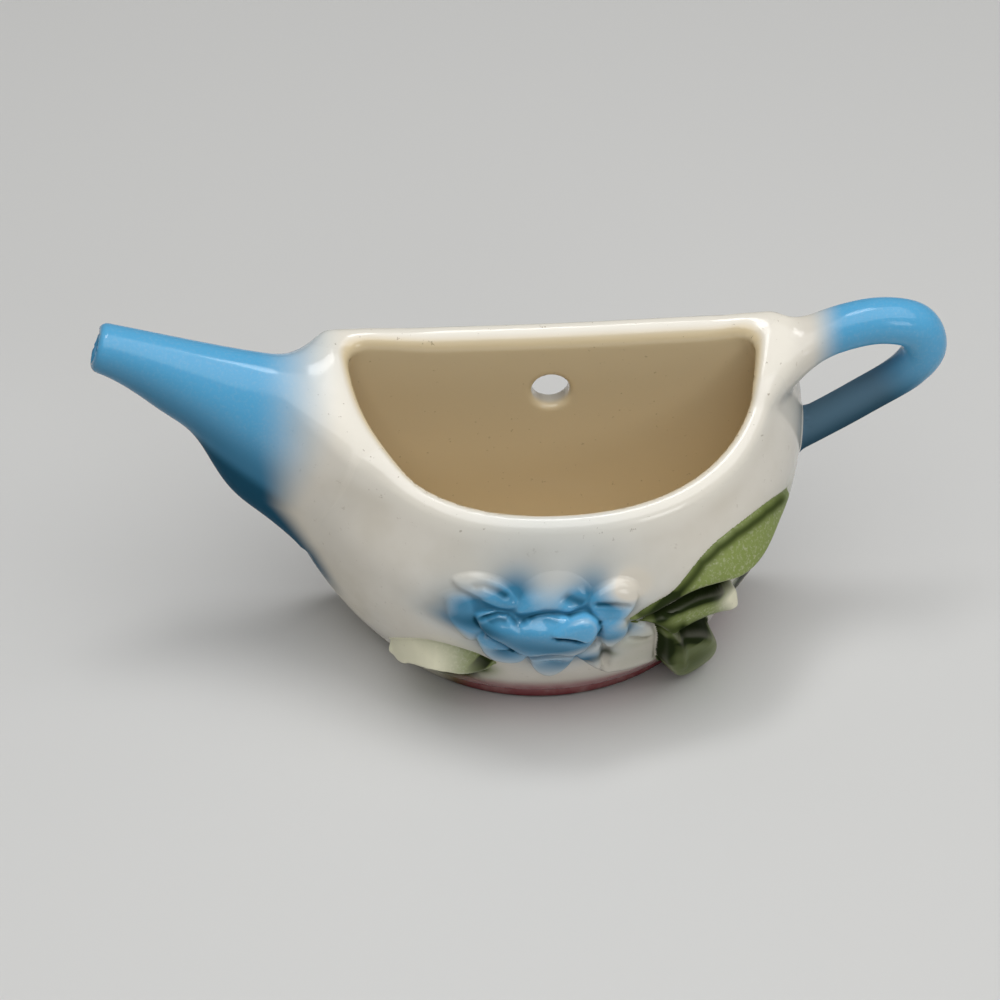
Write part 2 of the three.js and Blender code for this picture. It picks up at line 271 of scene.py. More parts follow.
@dataclass
class PocketWall:
    """The turned wall of the pocket, its hollow, and the bending that settles it into the real shape."""

    height: float = 75.5
    depth: float = 52.0
    belly: float = 57.2
    lean: float = 2.5
    belly_height: float = 47.0
    mouth: float = 48.5
    mouth_depth: float = 45.0
    base: float = 41.6
    base_depth: float = 40.1
    base_shift: float = -2.4
    start_out: float = 0.5
    start_up: float = 0.24
    belly_ease: float = 0.42
    shoulder_up: float = 0.5
    shoulder_out: float = 0.35
    shoulder_down: float = 0.28
    lip_drop: float = 21.0
    bend_height: float = 14.0
    thickness: float = 5.0
    floor: float = 6.0
    back: float = 5.0
    foot: float = 4.0
    foot_setback: float = 1.2
    inner_round: float = 5.0
    lip_lean: float = 0.39
    lip_fullness: float = 0.06
    flat_start: float = 10.0
    wobble: float = 0.16
    line_steps: int = 40
    edge_steps: int = 9
    settle_rounds: int = 5
    least_slope: float = 0.25
    filled_field: TurnedField = field(init=False)
    hollow_field: TurnedField = field(init=False)
    foot_field: TurnedField = field(init=False)
    line: Array = field(init=False)
    climbs: Array = field(init=False)

    def __post_init__(self) -> None:
        """Works out the wall's line and the tables of its turned forms."""
        lip = self.thickness / 2
        self.line = self.wall_line(0, self.foot)
        self.climbs = lengths_along(self.line)
        angles = np.linspace(self.lip_lean, math.pi / 2, self.edge_steps)[1:]
        middle = self.mouth - lip * math.cos(self.lip_lean)
        rounding = np.stack(
            [middle + lip * np.cos(angles), self.height - lip + lip * np.sin(angles)], axis=1
        )
        self.filled_field = TurnedField(
            np.vstack([[0, self.foot], self.line, rounding, [0, self.height]])
        )
        inner = self.wall_line(
            -self.thickness - self.inner_round, self.foot + self.floor + self.inner_round
        )
        top = self.height + 2 * self.inner_round
        self.hollow_field = TurnedField(
            np.vstack([[0, inner[0, 1]], inner, [inner[-1, 0], top], [0, top]]), self.inner_round
        )
        edge = self.base - self.foot_setback
        self.foot_field = TurnedField(
            np.array([
                [0, 0], [edge - self.foot_setback, 0], [edge, self.foot_setback],
                [edge, self.foot + self.floor / 2], [0, self.foot + self.floor / 2],
            ])
        )

    def wall_line(self, grow: float, lowest: float) -> Array:
        """The wall's outline from foot to lip, as radius and height.

        Args:
            grow: Amount added to each radius.
            lowest: Height where the wall starts.

        Returns:
            Points from the foot up to the lip.
        """
        base, belly, mouth = self.base + grow, self.belly + grow, self.mouth + grow
        highest = self.height - self.thickness / 2 * (1 - math.sin(self.lip_lean))
        run, rise = belly - base, self.belly_height - lowest
        upper_run, upper_rise = belly - mouth, highest - self.belly_height
        lower = bezier(
            (
                (base, lowest), (base + self.start_out * run, lowest + self.start_up * rise),
                (belly, self.belly_height - self.belly_ease * rise), (belly, self.belly_height),
            ), self.line_steps,
        )
        upper = bezier(
            (
                (belly, self.belly_height),
                (belly, self.belly_height + self.shoulder_up * upper_rise),
                (mouth + self.shoulder_out * upper_run, highest - self.shoulder_down * upper_rise),
                (mouth, highest),
            ), self.line_steps,
        )
        return np.vstack([lower, upper[1:]])

    def swell(self, height: Array) -> Array:
        """Share of the belly's fullness at a height of the turned form."""
        return np.sin(math.pi * np.clip((height - self.foot) / (self.height - self.foot), 0, 1))

    def flatness(self, height: Array) -> Array:
        """Depth of the real pocket over that of the turned one.

        Args:
            height: Heights of the turned form.

        Returns:
            Shares, from foot to lip.
        """
        base, mouth = self.base_depth / self.base, self.mouth_depth / self.mouth
        rising = smooth_step(self.belly_height - self.flat_start, self.height, height)
        end = base + (mouth - base) * rising
        return end + (self.depth / self.belly - end) * self.swell(height)

    def fullness(self, turn: Array, height: Array) -> Array:
        """Radius over that of a plain half round: the mouth is squarer between front and sides."""
        rising = smooth_step(self.belly_height, self.height, height)
        return 1 + self.lip_fullness * rising * np.sin(2 * turn) ** 2

    def sidestep(self, height: Array) -> Array:
        """How far the lower part stands towards the spout at a height of the turned form."""
        return self.base_shift * smooth_step(self.belly_height, self.foot, height)

    def drop(self, height: Array) -> Array:
        """How far the front of the turned form is let down at a height."""
        return self.lip_drop * smooth_step(self.bend_height, self.height, height)

    def settle(self, x: Array, y: Array, z: Array) -> tuple[Array, Array, Array]:
        """Moves places of the turned form to the real one, fuller at the spout and with a leaning lip.

        Args:
            x: Places along the wall.
            y: Places out from the wall.
            z: Places up from the table.

        Returns:
            The moved places.
        """
        full = self.fullness(np.arctan2(x, -y), z)
        x, y = x * full, y * full
        swell = self.swell(z)
        lean = np.where(x < 0, self.lean, -self.lean) / self.belly
        across = x * (1 + lean * swell) + self.sidestep(z)
        return across, y * self.flatness(z), z + self.drop(z) * y / self.mouth

    def unsettle(self, x: Array, y: Array, z: Array) -> tuple[Array, Array, Array]:
        """Finds where places of the real form lie on the turned one.

        Args:
            x: Places along the wall.
            y: Places out from the wall.
            z: Places up from the table.

        Returns:
            Radius, turn from the front line and height.
        """
        height = z + 0 * y
        span = self.height - self.bend_height
        for _ in range(self.settle_rounds):
            round_y = y / self.flatness(height)
            share = np.clip((height - self.bend_height) / span, 0, 1)
            slope = 1 + self.lip_drop * 6 * share * (1 - share) / span * round_y / self.mouth
            miss = height + self.drop(height) * round_y / self.mouth - z
            height = height - miss / np.maximum(slope, self.least_slope)
        swell = self.swell(height)
        round_y = y / self.flatness(height)
        across = x - self.sidestep(height)
        round_x = across / (1 + np.where(across < 0, self.lean, -self.lean) / self.belly * swell)
        turn = np.arctan2(round_x, -round_y)
        return np.hypot(round_x, round_y) / self.fullness(turn, height), turn, height

    def unevenness(self, x: Array, y: Array, z: Array) -> Array:
        """The slight waviness of a hand-finished cast."""
        waves = np.sin(x / 11 + 1.3) * np.sin(z / 9 + 0.4) + 0.7 * np.sin(y / 8 + x / 19 + 2.1)
        return self.wobble * waves

    def place(self, right: Array, climb: Array) -> Array:
        """Places on the front, measured along the wall.

        Args:
            right: Distance right of the front line.
            climb: Distance up from the foot.

        Returns:
            Rows of x, y and z.
        """
        radius = np.interp(climb, self.climbs, self.line[:, 0])
        height = np.interp(climb, self.climbs, self.line[:, 1])
        turn = right / self.belly
        return np.stack(self.settle(radius * np.sin(turn), -radius * np.cos(turn), height), axis=-1)

    def normal(self, right: Array, climb: Array) -> Array:
        """Directions straight out from the wall.

        Args:
            right: Distance right of the front line.
            climb: Distance up from the foot.

        Returns:
            Rows of directions, each 1 long.
        """
        feel = 0.8
        along = self.place(right + feel, climb) - self.place(right - feel, climb)
        top = self.climbs[-1]
        above = self.place(right, np.minimum(climb + feel, top))
        up = above - self.place(right, np.maximum(climb - feel, 0))
        out = np.cross(along, up)
        return out / np.linalg.norm(out, axis=-1, keepdims=True)

    def coordinates(self, points: Array) -> tuple[Array, Array]:
        """Right and climb of places on or near the outer wall."""
        _, turn, height = self.unsettle(points[:, 0], points[:, 1], points[:, 2])
        return turn * self.belly, np.interp(height, self.line[:, 1], self.climbs)


@dataclass
class Spout:
    """The spout, which lies against the wall and swells from its tip to a tall root on the belly."""

    tip: Pair = (-95.5, 76.6)
    bow_heights: Pair = (70.8, 58.6)
    root: Pair = (-47.0, 52.6)
    tip_radius: float = 5.3
    root_half_height: float = 24.6
    root_half_depth: float = 14.5
    taper: float = 1.55
    mouth_radius: float = 3.2
    mouth_depth: float = 3.0
    tip_round: float = 1.8
    blind_round: float = 1.5
    mouth_round: float = 0.8
    lower_swell: float = 2.1
    full_share: Pair = (0.72, 0.13)
    drawn_share: Pair = (0.47, 0.11)
    drawn_in: float = 0.7
    swell_side: Pair = (2.0, -6.0)
    fade: Pair = (-58.5, 45.0)
    fade_lean: float = 0.2
    fade_lean_below: float = 2.8
    fade_reaches: Pair = (3.5, 10.0)
    fade_heights: Pair = (40.0, 70.0)
    spray_end: float = 16.0
    spray_end_rise: float = 6.0
    spray_end_reach: float = 10.0
    # bands of deep colour under the spout: denser spray and painted shade
    dense_and_shade_bands: tuple[Band, ...] = ((0.6, 7.0, -7.0), (0.35, -7.0, -12.0))
    line_steps: int = 200
    line: Array = field(init=False)

    def __post_init__(self) -> None:
        """Works out the spout's middle line."""
        third = (self.root[0] - self.tip[0]) / 3
        self.line = bezier(
            (
                self.tip, (self.tip[0] + third, self.bow_heights[0]),
                (self.root[0] - third, self.bow_heights[1]), self.root,
            ), self.line_steps,
        )

    def distance(self, x: Array, y: Array, z: Array) -> Array:
        """Distances to the spout, with a round-edged tip and its blind mouth.

        Args:
            x: Places along the wall.
            y: Places out from the wall.
            z: Places up from the table.

        Returns:
            Distances, negative inside.
        """
        aside, share = line_distance(self.line, x, z)
        half_height = self.tip_radius + (self.root_half_height - self.tip_radius) * share**self.taper
        half_height = half_height + self.swelling(share, self.above_line(x, z))
        half_depth = self.tip_radius + (self.root_half_depth - self.tip_radius) * share**self.taper
        across = y + half_depth
        ratio = np.hypot(aside / half_height, across / half_depth)
        steep = np.hypot(aside / half_height**2, across / half_depth**2)
        tube = ratio * (ratio - 1) / np.maximum(steep, 1e-6)
        inward = self.line[1] - self.line[0]
        inward = inward / np.linalg.norm(inward)
        beyond = -((x - self.tip[0]) * inward[0] + (z - self.tip[1]) * inward[1])
        body = soft_max(tube, beyond, self.tip_round)
        sideways = (x - self.tip[0]) * -inward[1] + (z - self.tip[1]) * inward[0]
        bore = np.hypot(sideways, y + self.tip_radius) - self.mouth_radius
        blind = soft_max(bore, -beyond - self.mouth_depth, self.blind_round)
        return soft_max(body, -blind, self.mouth_round)

    def above_line(self, x: Array, z: Array) -> Array:
        """Heights above the middle line."""
        return z - np.interp(x, self.line[:, 0], self.line[:, 1])

    def swelling(self, share: Array, above: Array) -> Array:
        """Extra half height of the lower side, which is drawn in halfway and full near the root.

        Args:
            share: Shares along the middle line.
            above: Heights above the middle line.

        Returns:
            Extra half heights.
        """
        full, drawn = (
            np.exp(-(((share - place) / reach) ** 2))
            for place, reach in (self.full_share, self.drawn_share)
        )
        lower = smooth_step(*self.swell_side, above)
        return self.lower_swell * (full - self.drawn_in * drawn) * lower

    def blue(self, points: Array) -> Array:
        """Strength of the sprayed blue, fading into the body at the root and below it.

        Args:
            points: Places on the spout and the belly.

        Returns:
            Strengths from 0 to 1.
        """
        above = points[:, 2] - self.fade[1]
        middle = self.fade[0] + self.fade_lean * np.maximum(above, -self.fade_lean_below * above)
        low, high = self.fade_reaches
        reach = low + (high - low) * smooth_step(*self.fade_heights, points[:, 2])
        sideways = 1 - smooth_step(middle - reach, middle + reach, points[:, 0])
        across = points[:, 1] / self.root_half_depth + 1
        lower = self.spray_end + self.spray_end_rise * across**2
        return sideways * smooth_step(lower, lower + self.spray_end_reach, points[:, 2])

    def underside(self, points: Array) -> Array:
        """Share of deep colour on the lower side: denser spray there, and painted shade under the spout."""
        above = self.above_line(points[:, 0], points[:, 2])
        return sum(part * smooth_step(high, low, above) for part, high, low in self.dense_and_shade_bands)


@dataclass
class Handle:
    """The loop handle: an ear in the plane of the wall with both ends on the belly's side."""

    side: float = 54.5
    reach: float = 25.5
    rise: float = 75.5
    radius: float = 5.0
    lower_radius: float = 4.15
    flare: float = 3.0
    flare_share: float = 0.18
    stations: Pairs = (
        (-0.353, 0.868), (0.322, 0.972), (0.647, 0.988), (0.902, 0.962),
        (1.0, 0.887), (0.89, 0.809), (0.486, 0.702), (-0.353, 0.517),
    )
    upper_fade: Pair = (54.2, 62.0)
    lower_fade: Pair = (40.0, 48.0)
    arm_heights: Pair = (60.0, 68.0)
    slim_shares: Pair = (0.35, 0.65)
    lower_shares: Pair = (0.45, 0.65)
    thin_spray: float = 0.1
    thin_loss: float = 0.7
    below_heights: Pair = (3.5, -3.0)
    # deep colour on the lower arm, and painted shade added on its lower side
    dense: Pair = (0.85, 0.15)
    curve_steps: int = 24
    line_points: int = 161
    line: Array = field(init=False)

    def __post_init__(self) -> None:
        """Draws a smooth line through the stations and spaces its points evenly."""
        points = np.array(self.stations) * (self.reach, self.rise) + (self.side, 0)
        ends = np.vstack([2 * points[0] - points[1], points, 2 * points[-1] - points[-2]])
        rows = []
        for a, b, c, d in zip(ends, ends[1:], ends[2:], ends[3:]):
            before, here, after = (
                math.sqrt(np.linalg.norm(q - p)) for p, q in ((a, b), (b, c), (c, d))
            )
            leave = here * ((b - a) / before - (c - a) / (before + here) + (c - b) / here)
            reach = here * ((c - b) / here - (d - b) / (here + after) + (d - c) / after)
            rows.append(bezier((b, b + leave / 3, c - reach / 3, c), self.curve_steps)[:-1])
        dense = np.vstack([*rows, points[-1]])
        along = lengths_along(dense)
        even = np.linspace(0, along[-1], self.line_points)
        self.line = np.stack([np.interp(even, along, dense[:, axis]) for axis in (0, 1)], axis=1)

    def distance(self, x: Array, y: Array, z: Array) -> Array:
        """Distances to the loop.

        Args:
            x: Places along the wall.
            y: Places out from the wall.
            z: Places up from the table.

        Returns:
            Distances, negative inside.
        """
        aside, share = line_distance(self.line, x, z)
        slim = smooth_step(*self.slim_shares, share)
        radius = self.radius + (self.lower_radius - self.radius) * slim
        radius = radius + self.flare * np.maximum(0, 1 - share / self.flare_share) ** 2
        return np.hypot(aside, y + radius) - radius

    def lowness(self, points: Array) -> Array:
        """Share by which a place belongs to the lower arm."""
        _, share = line_distance(self.line, points[:, 0], points[:, 2])
        return smooth_step(*self.lower_shares, share)

    def blue(self, points: Array) -> Array:
        """Strength of the sprayed blue: the lower arm is blue from its root, the upper one further out.

        Args:
            points: Places on the handle.

        Returns:
            Strengths from 0 to 1.
        """
        upper = 1 - self.lowness(points)
        low = self.lower_fade[0] + (self.upper_fade[0] - self.lower_fade[0]) * upper
        high = self.lower_fade[1] + (self.upper_fade[1] - self.lower_fade[1]) * upper
        # the lower arm's blue is thinned, which greys it, and thinned less on its lower side, so its paler
        # top is a painted highlight
        thin = self.thin_spray * self.lowness(points) * (1 - self.thin_loss * self.below(points))
        return smooth_step(low, high, points[:, 0]) * (1 - thin)

    def below(self, points: Array) -> Array:
        """Share by which a place lies on the lower side of the lower arm.

        Args:
            points: Places on the handle.

        Returns:
            Shares from 0 to 1.
        """
        lower = self.line[len(self.line) // 2:][::-1]
        middle = np.interp(points[:, 0], lower[:, 0], lower[:, 1])
        return smooth_step(*self.below_heights, points[:, 2] - middle)

    def underside(self, points: Array) -> Array:
        """Strength of the deep colour: denser spray on the lower arm, and painted shade on its lower side."""
        return (self.dense[0] + self.dense[1] * self.below(points)) * self.lowness(points)


@dataclass(frozen=True)
class Spray:
    """One puff of the airbrush on the wall; a negative strength leaves the white showing."""

    right: float
    climb: float
    reach: float
    strength: float

    def amount(self, right: Array, climb: Array) -> Array:
        """Strength of the puff at places on the wall."""
        away = ((right - self.right) ** 2 + (climb - self.climb) ** 2) / self.reach**2
        return self.strength * np.exp(-away)


def sprayed(puffs: tuple[Spray, ...], right: Array, climb: Array) -> Array:
    """Sum of several puffs, from 0 to 1."""
    return np.clip(sum(puff.amount(right, climb) for puff in puffs), 0, 1)


@dataclass(frozen=True)
class Glaze:
    """A glaze over sprayed underglaze colours, with its gloss, specks and grain, and colours for painted
    shade and a painted highlight.
    """

    slot: Slot
    cream: Colour = (0.74, 0.70, 0.62)
    shade: Colour = (0.62, 0.57, 0.47)
    inside: Colour = (0.71, 0.585, 0.37)
    sky: Colour = (0.10, 0.40, 0.68)
    # deep, leaf_deep and rose_deep: darker colours of deep spray and of painted shade
    deep: Colour = (0.009, 0.063, 0.112)
    leaf: Colour = (0.20, 0.245, 0.075)
    leaf_deep: Colour = (0.016, 0.024, 0.007)
    rose: Colour = (0.31, 0.085, 0.095)
    rose_deep: Colour = (0.11, 0.018, 0.02)
    # paler colour of the painted highlight on the lip, and on bare leaf parts
    lip: Colour = (0.80, 0.76, 0.67)
    speck: Colour = (0.22, 0.15, 0.08)
    speck_share: float = 0.5
    grain: float = 0.06
    roughness: float = 0.16
    coat: float = 0.4
    gloss: float = 0.5
    ior: float = 1.48
    waviness: float = 0.08

    def material(self) -> bpy.types.Material:
        """Builds the node material.

        Returns:
            The finished material, which reads the coats kept on each vertex.
        """
        material = bpy.data.materials.new(self.slot.value)
        material.use_nodes = True
        return NodePainter(material).paint(self)


class NodePainter:
    """Lays out the nodes of a glaze; scales of noise are in features per metre."""

    CLOUD = 70
    DUST = 1500
    SPECK = 620
    BRUSH = 240
    RIPPLE = 150
    CLOUD_STEP = 0.08
    COAT_ROUGHNESS = 0.04
    # the deep colour, which includes painted shade, also takes away gloss and coat
    DEEP_START = 0.2
    DEEP_IOR = 1.08
    DEEP_GLOSS = 0.06
    DEEP_COAT = 0.1

    def __init__(self, material: bpy.types.Material) -> None:
        """Takes a material with fresh nodes."""
        self.material = material
        self.nodes = material.node_tree.nodes
        self.links = material.node_tree.links
        self.shader = self.nodes["Principled BSDF"]
        self.where = self.nodes.new("ShaderNodeTexCoord").outputs["Object"]

    def coat(self, coat: Coat) -> Socket:
        """Reads the strength of one coat.

        Args:
            coat: The coat.

        Returns:
            The strength's socket.
        """
        node = self.nodes.new("ShaderNodeAttribute")
        node.attribute_name = coat.value
        return node.outputs["Fac"]

    def noise(self, scale: float, detail: float = 2.0, roughness: float = 0.5) -> Socket:
        """Cloudy noise.

        Args:
            scale: Features per metre.
            detail: Layers of finer noise.
            roughness: Strength of the finer layers.

        Returns:
            The noise's socket.
        """
        node = self.nodes.new("ShaderNodeTexNoise")
        node.inputs["Scale"].default_value = scale
        node.inputs["Detail"].default_value = detail
        node.inputs["Roughness"].default_value = roughness
        self.links.new(self.where, node.inputs["Vector"])
        return node.outputs["Fac"]

    def span(
        self, value: Socket, low: float, high: float, start: float = 0.0, end: float = 1.0
    ) -> Socket:
        """Eases a value from one span to another.

        Args:
            value: Socket to read.
            low: Value that gives start.
            high: Value that gives end.
            start: Result at and below low.
            end: Result at and above high.

        Returns:
            The eased value's socket.
        """
        node = self.nodes.new("ShaderNodeMapRange")
        node.interpolation_type = "SMOOTHSTEP"
        self.links.new(value, node.inputs["Value"])
        for name, number in (("From Min", low), ("From Max", high), ("To Min", start), ("To Max", end)):
            node.inputs[name].default_value = number
        return node.outputs["Result"]

    def maths(self, kind: str, first: Socket, second: Socket) -> Socket:
        """One sum of two values, kept between 0 and 1.

        Args:
            kind: Name of the sum.
            first: First value.
            second: Second value.

        Returns:
            The result's socket.
        """
        node = self.nodes.new("ShaderNodeMath")
        node.operation = kind
        node.use_clamp = True
        self.links.new(first, node.inputs[0])
        self.links.new(second, node.inputs[1])
        return node.outputs["Value"]

    def mix(self, amount: Socket, under: Socket | Colour, over: Socket | Colour) -> Socket:
        """Lays one colour over another.

        Args:
            amount: Strength of the upper colour.
            under: The lower colour.
            over: The upper colour.

        Returns:
            The mixed colour's socket.
        """
        node = self.nodes.new("ShaderNodeMix")
        node.data_type = "RGBA"
        self.links.new(amount, node.inputs[0])
        for socket, colour in ((node.inputs[6], under), (node.inputs[7], over)):
            if isinstance(colour, tuple):
                socket.default_value = (*colour, 1)
            else:
                self.links.new(colour, socket)
        return node.outputs[2]

    def paint(self, glaze: Glaze) -> bpy.types.Material:
        """Connects clay colour, sprays, painted shade, painted highlight, specks, gloss and ripples.

        Args:
            glaze: The finish to lay out.

        Returns:
            The material.
        """
        cloud = self.noise(self.CLOUD, 3)
        dust = self.noise(self.DUST, 2, 0.6)
        colour = self.mix(self.span(cloud, 0.35, 0.75, 0, 0.5), glaze.cream, glaze.shade)
        colour = self.mix(self.coat(Coat.INSIDE), colour, glaze.inside)
        specks = self.span(self.noise(self.SPECK, 3, 0.65), 0.665, 0.72)
        # paler colour on the lip and on bare leaf parts: a painted highlight
        colour = self.mix(self.coat(Coat.LIP), colour, glaze.lip)
        edge = self.span(self.coat(Coat.EDGE), 0, 1, 0.35 * glaze.speck_share, glaze.speck_share)
        colour = self.mix(self.maths("MULTIPLY", specks, edge), colour, glaze.speck)
        drift = self.span(dust, 0.45, 0.75, 0, glaze.grain)
        # deep colour of darker spray and of painted shade
        pool = self.coat(Coat.POOL)
        for coat, light, dark in (
            (Coat.BLUE, glaze.sky, glaze.deep),
            (Coat.GREEN, glaze.leaf, glaze.leaf_deep),
        ):
            strength = self.coat(coat)
            loose = self.maths("MULTIPLY", strength, self.span(pool, 0, 0.6, 1, 0))
            uneven = self.maths("SUBTRACT", strength, self.maths("MULTIPLY", drift, loose))
            colour = self.mix(uneven, colour, self.mix(pool, light, dark))
        brush = self.span(self.noise(self.BRUSH, 3), 0.3, 0.6, 0.88, 1)
        rose = self.maths("MULTIPLY", self.coat(Coat.PINK), brush)
        # the pink turns darker where painted shade lies at the foot
        colour = self.mix(rose, colour, self.mix(pool, glaze.rose, glaze.rose_deep))
        self.links.new(colour, self.shader.inputs["Base Color"])
        rough = self.span(cloud, 0.3, 0.7, glaze.roughness, glaze.roughness + self.CLOUD_STEP)
        self.links.new(rough, self.shader.inputs["Roughness"])
        # less gloss where the painted shade and the deep spray lie
        for name, bare, darkened in (
            ("IOR", glaze.ior, self.DEEP_IOR),
            ("Specular IOR Level", glaze.gloss, self.DEEP_GLOSS),
            ("Coat Weight", glaze.coat, self.DEEP_COAT * glaze.coat),
        ):
            self.links.new(self.span(pool, self.DEEP_START, 1, bare, darkened), self.shader.inputs[name])
        self.shader.inputs["Coat Roughness"].default_value = self.COAT_ROUGHNESS
        bump = self.nodes.new("ShaderNodeBump")
        bump.inputs["Strength"].default_value = glaze.waviness
        bump.inputs["Distance"].default_value = MM
        self.links.new(self.noise(self.RIPPLE), bump.inputs["Height"])
        self.links.new(bump.outputs["Normal"], self.shader.inputs["Normal"])
        return self.material


GLAZES = {
    Slot.CREAM: Glaze(Slot.CREAM),
    Slot.FOOT: Glaze(Slot.FOOT, speck_share=0.3),
    Slot.BLUE: Glaze(Slot.BLUE, roughness=0.13, coat=0.15, gloss=0.35, ior=1.42),
    Slot.FLOWER: Glaze(Slot.FLOWER, roughness=0.14, coat=0.3),
    Slot.LEAF: Glaze(
        # its lip colour is the painted highlight on the bare leaf parts
        Slot.LEAF, leaf=(0.22, 0.275, 0.08), lip=(0.87, 0.85, 0.62), grain=0.26,
        roughness=0.35, coat=0.05, gloss=0.25, ior=1.42, waviness=0.15,
    ),
}


class Workshop:
    """Turns point and face arrays into pieces of the part."""

    def __init__(self) -> None:
        """Makes each glaze once."""
        self.materials = {slot: glaze.material() for slot, glaze in GLAZES.items()}

    def piece(
        self, node: str, slot: Slot, points: Array, faces: Array, normals: Array, coats: dict[Coat, Array]
    ) -> bpy.types.Object:
        """Makes one piece that stands for a node of the frame.

        Args:
            node: The node's name.
            slot: The finish.
            points: Places in millimetres.
            faces: Rows of four point numbers.
            normals: Direction of the surface at each point.
            coats: Strength of each coat at each point.

        Returns:
            The new object.
        """
        mesh = bpy.data.meshes.new("glazed_" + node)
        metres = points * MM + (0, 0, TABLE_Z)
        mesh.vertices.add(len(points))
        mesh.vertices.foreach_set("co", metres.astype(np.float32).ravel())
        mesh.loops.add(faces.size)
        mesh.loops.foreach_set("vertex_index", faces.astype(np.int32).ravel())
        mesh.polygons.add(len(faces))
        mesh.polygons.foreach_set("loop_start", np.arange(0, faces.size, faces.shape[1], dtype=np.int32))
        mesh.polygons.foreach_set("use_smooth", np.ones(len(faces), bool))
        mesh.update(calc_edges=True)
        mesh.validate()
        for coat in Coat:
            layer = mesh.attributes.new(coat.value, "FLOAT", "POINT")
            strength = coats.get(coat)
            if strength is not None:
                layer.data.foreach_set("value", np.clip(strength, 0, 1).astype(np.float32))
        mesh.normals_split_custom_set_from_vertices(normals.astype(np.float32))
        mesh.materials.append(self.materials[slot])
        made = bpy.data.objects.new("glazed_" + node, mesh)
        bpy.context.scene.collection.objects.link(made)
        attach(made, BODY)
        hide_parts(node)
        log.info("%s: %d points, %d faces", made.name, len(points), len(faces))
        return made


@dataclass
class Block:
    """A box of evenly spaced places on which distance fields are felt."""

    low: Place
    high: Place
    step: float

    def axes(self) -> tuple[Array, Array, Array]:
        """The places along x, y and z, shaped so that they combine into the whole box."""
        x, y, z = (np.arange(a, b + self.step, self.step) for a, b in zip(self.low, self.high))
        return x[:, None, None], y[None, :, None], z[None, None, :]


CORNERS = tuple((i, j, k) for i in (0, 1) for j in (0, 1) for k in (0, 1))


def surface_net(values: Array, low: Place, step: float) -> tuple[Array, Array, Array]:
    """Lays an even net of quads over the zero surface of a field.

    Args:
        values: Field on a box of places, negative inside.
        low: Lowest corner of the box.
        step: Distance between places.

    Returns:
        Points, faces of four points, and the cell of each point.
    """
    inside = values < 0
    shape = tuple(n - 1 for n in values.shape)
    count = sum(
        inside[i:i + shape[0], j:j + shape[1], k:k + shape[2]].astype(np.int8) for i, j, k in CORNERS
    )
    cells = np.argwhere((count > 0) & (count < 8))
    number = np.full(shape, -1, np.int64)
    number[tuple(cells.T)] = np.arange(len(cells))
    corner_values = np.stack([values[tuple((cells + corner).T)] for corner in CORNERS], axis=1)
    total = np.zeros((len(cells), 3))
    hits = np.zeros(len(cells))
    for a, first in enumerate(CORNERS):
        for b, second in enumerate(CORNERS):
            gap = np.subtract(second, first)
            if gap.min() < 0 or gap.sum() != 1:
                continue
            va, vb = corner_values[:, a], corner_values[:, b]
            crossed = (va < 0) != (vb < 0)
            share = np.where(crossed, va / np.where(crossed, va - vb, 1), 0)
            total += crossed[:, None] * (np.array(first) + share[:, None] * gap)
            hits += crossed
    points = np.array(low) + step * (cells + total / hits[:, None])
    faces = []
    for axis in range(3):
        side, other = (axis + 1) % 3, (axis + 2) % 3
        near = [slice(1, -1)] * 3
        near[axis] = slice(0, -1)
        far = list(near)
        far[axis] = slice(1, None)
        starts, ends = inside[tuple(near)], inside[tuple(far)]
        for here, order in ((starts & ~ends, 1), (~starts & ends, -1)):
            at = np.argwhere(here)
            at[:, side] += 1
            at[:, other] += 1
            ring = []
            for move_side, move_other in ((-1, -1), (0, -1), (0, 0), (-1, 0))[::order]:
                cell = at.copy()
                cell[:, side] += move_side
                cell[:, other] += move_other
                ring.append(number[tuple(cell.T)])
            faces.append(np.stack(ring, axis=1))
    return points, np.vstack(faces), cells


